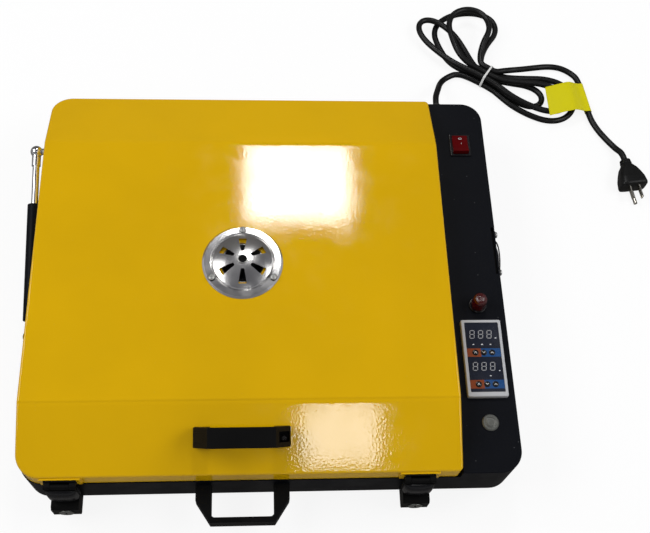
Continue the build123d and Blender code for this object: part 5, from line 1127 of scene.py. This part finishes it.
class OVEN_OT_wool(bpy.types.Operator):
    """Makes the mineral wool in the lid and round the pan"""
    bl_idname = "oven.wool"
    bl_label = "Mineral wool"

    def execute(self, context):
        for node, body in (("lid_insulation", "lid"), ("base_insulation", "base")):
            wool = bpy.data.objects.new(f"{node}_wool", self.rough_copy(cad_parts[node].data))
            context.scene.collection.objects.link(wool)
            dress(wool, "mineral_wool", body, node, node)
        return {"FINISHED"}

    def rough_copy(self, solid):
        """The solid's surface with its long edges cut, sunk by 0.7 + 0.5 sin(310 x) sin(270 y) sin(400 z + 1)
        millimetres."""
        mesh = solid.copy()
        work = bmesh.new()
        work.from_mesh(mesh)
        bmesh.ops.remove_doubles(work, verts=work.verts, dist=1e-5)
        bmesh.ops.triangulate(work, faces=work.faces)
        for _ in range(2):
            long = [edge for edge in work.edges if edge.calc_length() > 30 * MM]
            bmesh.ops.subdivide_edges(work, edges=long, cuts=1)
            bmesh.ops.triangulate(work, faces=work.faces)
        bmesh.ops.recalc_face_normals(work, faces=work.faces)
        work.to_mesh(mesh)
        work.free()
        place, normal = np.zeros(len(mesh.vertices) * 3), np.zeros(len(mesh.vertices) * 3)
        mesh.vertices.foreach_get("co", place)
        mesh.vertices.foreach_get("normal", normal)
        place, normal = place.reshape(-1, 3), normal.reshape(-1, 3)
        wave = np.sin(place[:, 0] * 310) * np.sin(place[:, 1] * 270) * np.sin(place[:, 2] * 400 + 1)
        place = place - normal * ((0.7 + 0.5 * wave) * MM)[:, None]
        mesh.vertices.foreach_set("co", place.ravel())
        mesh.update()
        return mesh


# Finishes of the CAD pieces

NODE_FINISHES = {
    "yellow_powder_coat": ("lid_shell",),
    "black_powder_coat": ("base_shell", "control_cover", "bay_partition", "strut_tube"),
    "black_plastic": ("front_handle", "lid_handle", "front_handle_caps", "lid_handle_cap", "lock_bodies",
                      "left_hasp", "right_hasp", "hasp_mounts", "fan_frame"),
    "gloss_plastic": ("rocker_housing", "lamp_body"),
    "bezel_frame": ("controller_body",),
    "red_key": ("rocker_key",),
    "grey_plastic": ("heater_relay",),
    "matt_rubber": ("rubber_feet", "cord_gland"),
    "vent_steel": ("vent_cover",),
    "polished_steel": ("vent_shutter",),
    "chrome": ("strut_rod",),
    "button_metal": ("left_lock_cylinder", "right_lock_cylinder", "push_button_body", "push_button_cap"),
    "brushed_steel": ("chamber_liner", "lid_liner", "vent_collar", "film_rack", "tube_rests"),
    "zinc_steel": ("hinge_base_leaves", "hinge_lid_leaves", "strut_base_stud", "strut_lid_stud",
                   "temperature_probe"),
    "scaled_tube": ("heater_tubes",),
    "nickel_plate": ("plug_pins",),
}


def soften_folds(material, folds, half_width):
    """Adds the rounding of a sheet's folds to a material's bump: for a fold at y with a change of slope k, the
    height within half a width w of it is lowered by k (w - |d|)^2 / (4 w)."""
    tree, shader = nodes_of(material)
    y = axes_of(tree, own_place(tree))[1]
    drops = []
    for fold_y, bend in folds:
        near = maths(tree, "MAXIMUM", maths(tree, "SUBTRACT", half_width, distance(tree, y, fold_y)), 0.0)
        drops.append(times(tree, times(tree, near, near), -bend / (4 * half_width)))
    first = shader.inputs["Normal"].links[0].from_socket
    feed(shader, {"Normal": bump(tree, plus(tree, *drops), 1.0, 1.0, Normal=first)})


class OVEN_OT_finishes(bpy.types.Operator):
    """Gives the oven's own solids their powder coat, plastic and metal"""
    bl_idname = "oven.finishes"
    bl_label = "Finishes"

    def execute(self, context):
        for name, nodes in NODE_FINISHES.items():
            for node in nodes:
                coat(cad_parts[node], name)
        folds = ((LID_LOW.y + LID_FRONT_RUN, LID_DROP / LID_FRONT_RUN),
                 (LID_HIGH.y - LID_REAR_RUN, LID_DROP / LID_REAR_RUN))
        soften_folds(finish("yellow_powder_coat"), folds, 4 * MM)
        return {"FINISHED"}


class OVEN_PT_panel(bpy.types.Panel):
    """Lists the oven's sizes, colours and pieces"""
    bl_idname = "OVEN_PT_panel"
    bl_label = "Curing Oven"
    bl_space_type = "VIEW_3D"
    bl_region_type = "UI"
    bl_category = "Curing Oven"

    def draw(self, context):
        layout = self.layout
        for settings in (context.scene.oven_lead, context.scene.oven_colours, context.scene.oven_light):
            for label in settings.__annotations__:
                layout.prop(settings, label)
        for operator in OPERATORS:
            layout.operator(operator.bl_idname)


OPERATORS = (OVEN_OT_stage, OVEN_OT_lead, OVEN_OT_finishes, OVEN_OT_display, OVEN_OT_keys, OVEN_OT_rocker,
             OVEN_OT_button, OVEN_OT_lamp, OVEN_OT_screws, OVEN_OT_latches, OVEN_OT_fan, OVEN_OT_seal,
             OVEN_OT_wool)
SETTINGS = {"oven_lead": LeadSettings, "oven_colours": ColourSettings, "oven_light": LightSettings}
CLASSES = (*SETTINGS.values(), *OPERATORS, OVEN_PT_panel)


def register():
    for entry in CLASSES:
        bpy.utils.register_class(entry)
    for name, settings in SETTINGS.items():
        setattr(bpy.types.Scene, name, PointerProperty(type=settings))


def unregister():
    for name in SETTINGS:
        delattr(bpy.types.Scene, name)
    for entry in reversed(CLASSES):
        bpy.utils.unregister_class(entry)


def main():
    register()
    for operator in OPERATORS:
        group, name = operator.bl_idname.split(".")
        getattr(getattr(bpy.ops, group), name)()


if __name__ == "__main__":
    main()
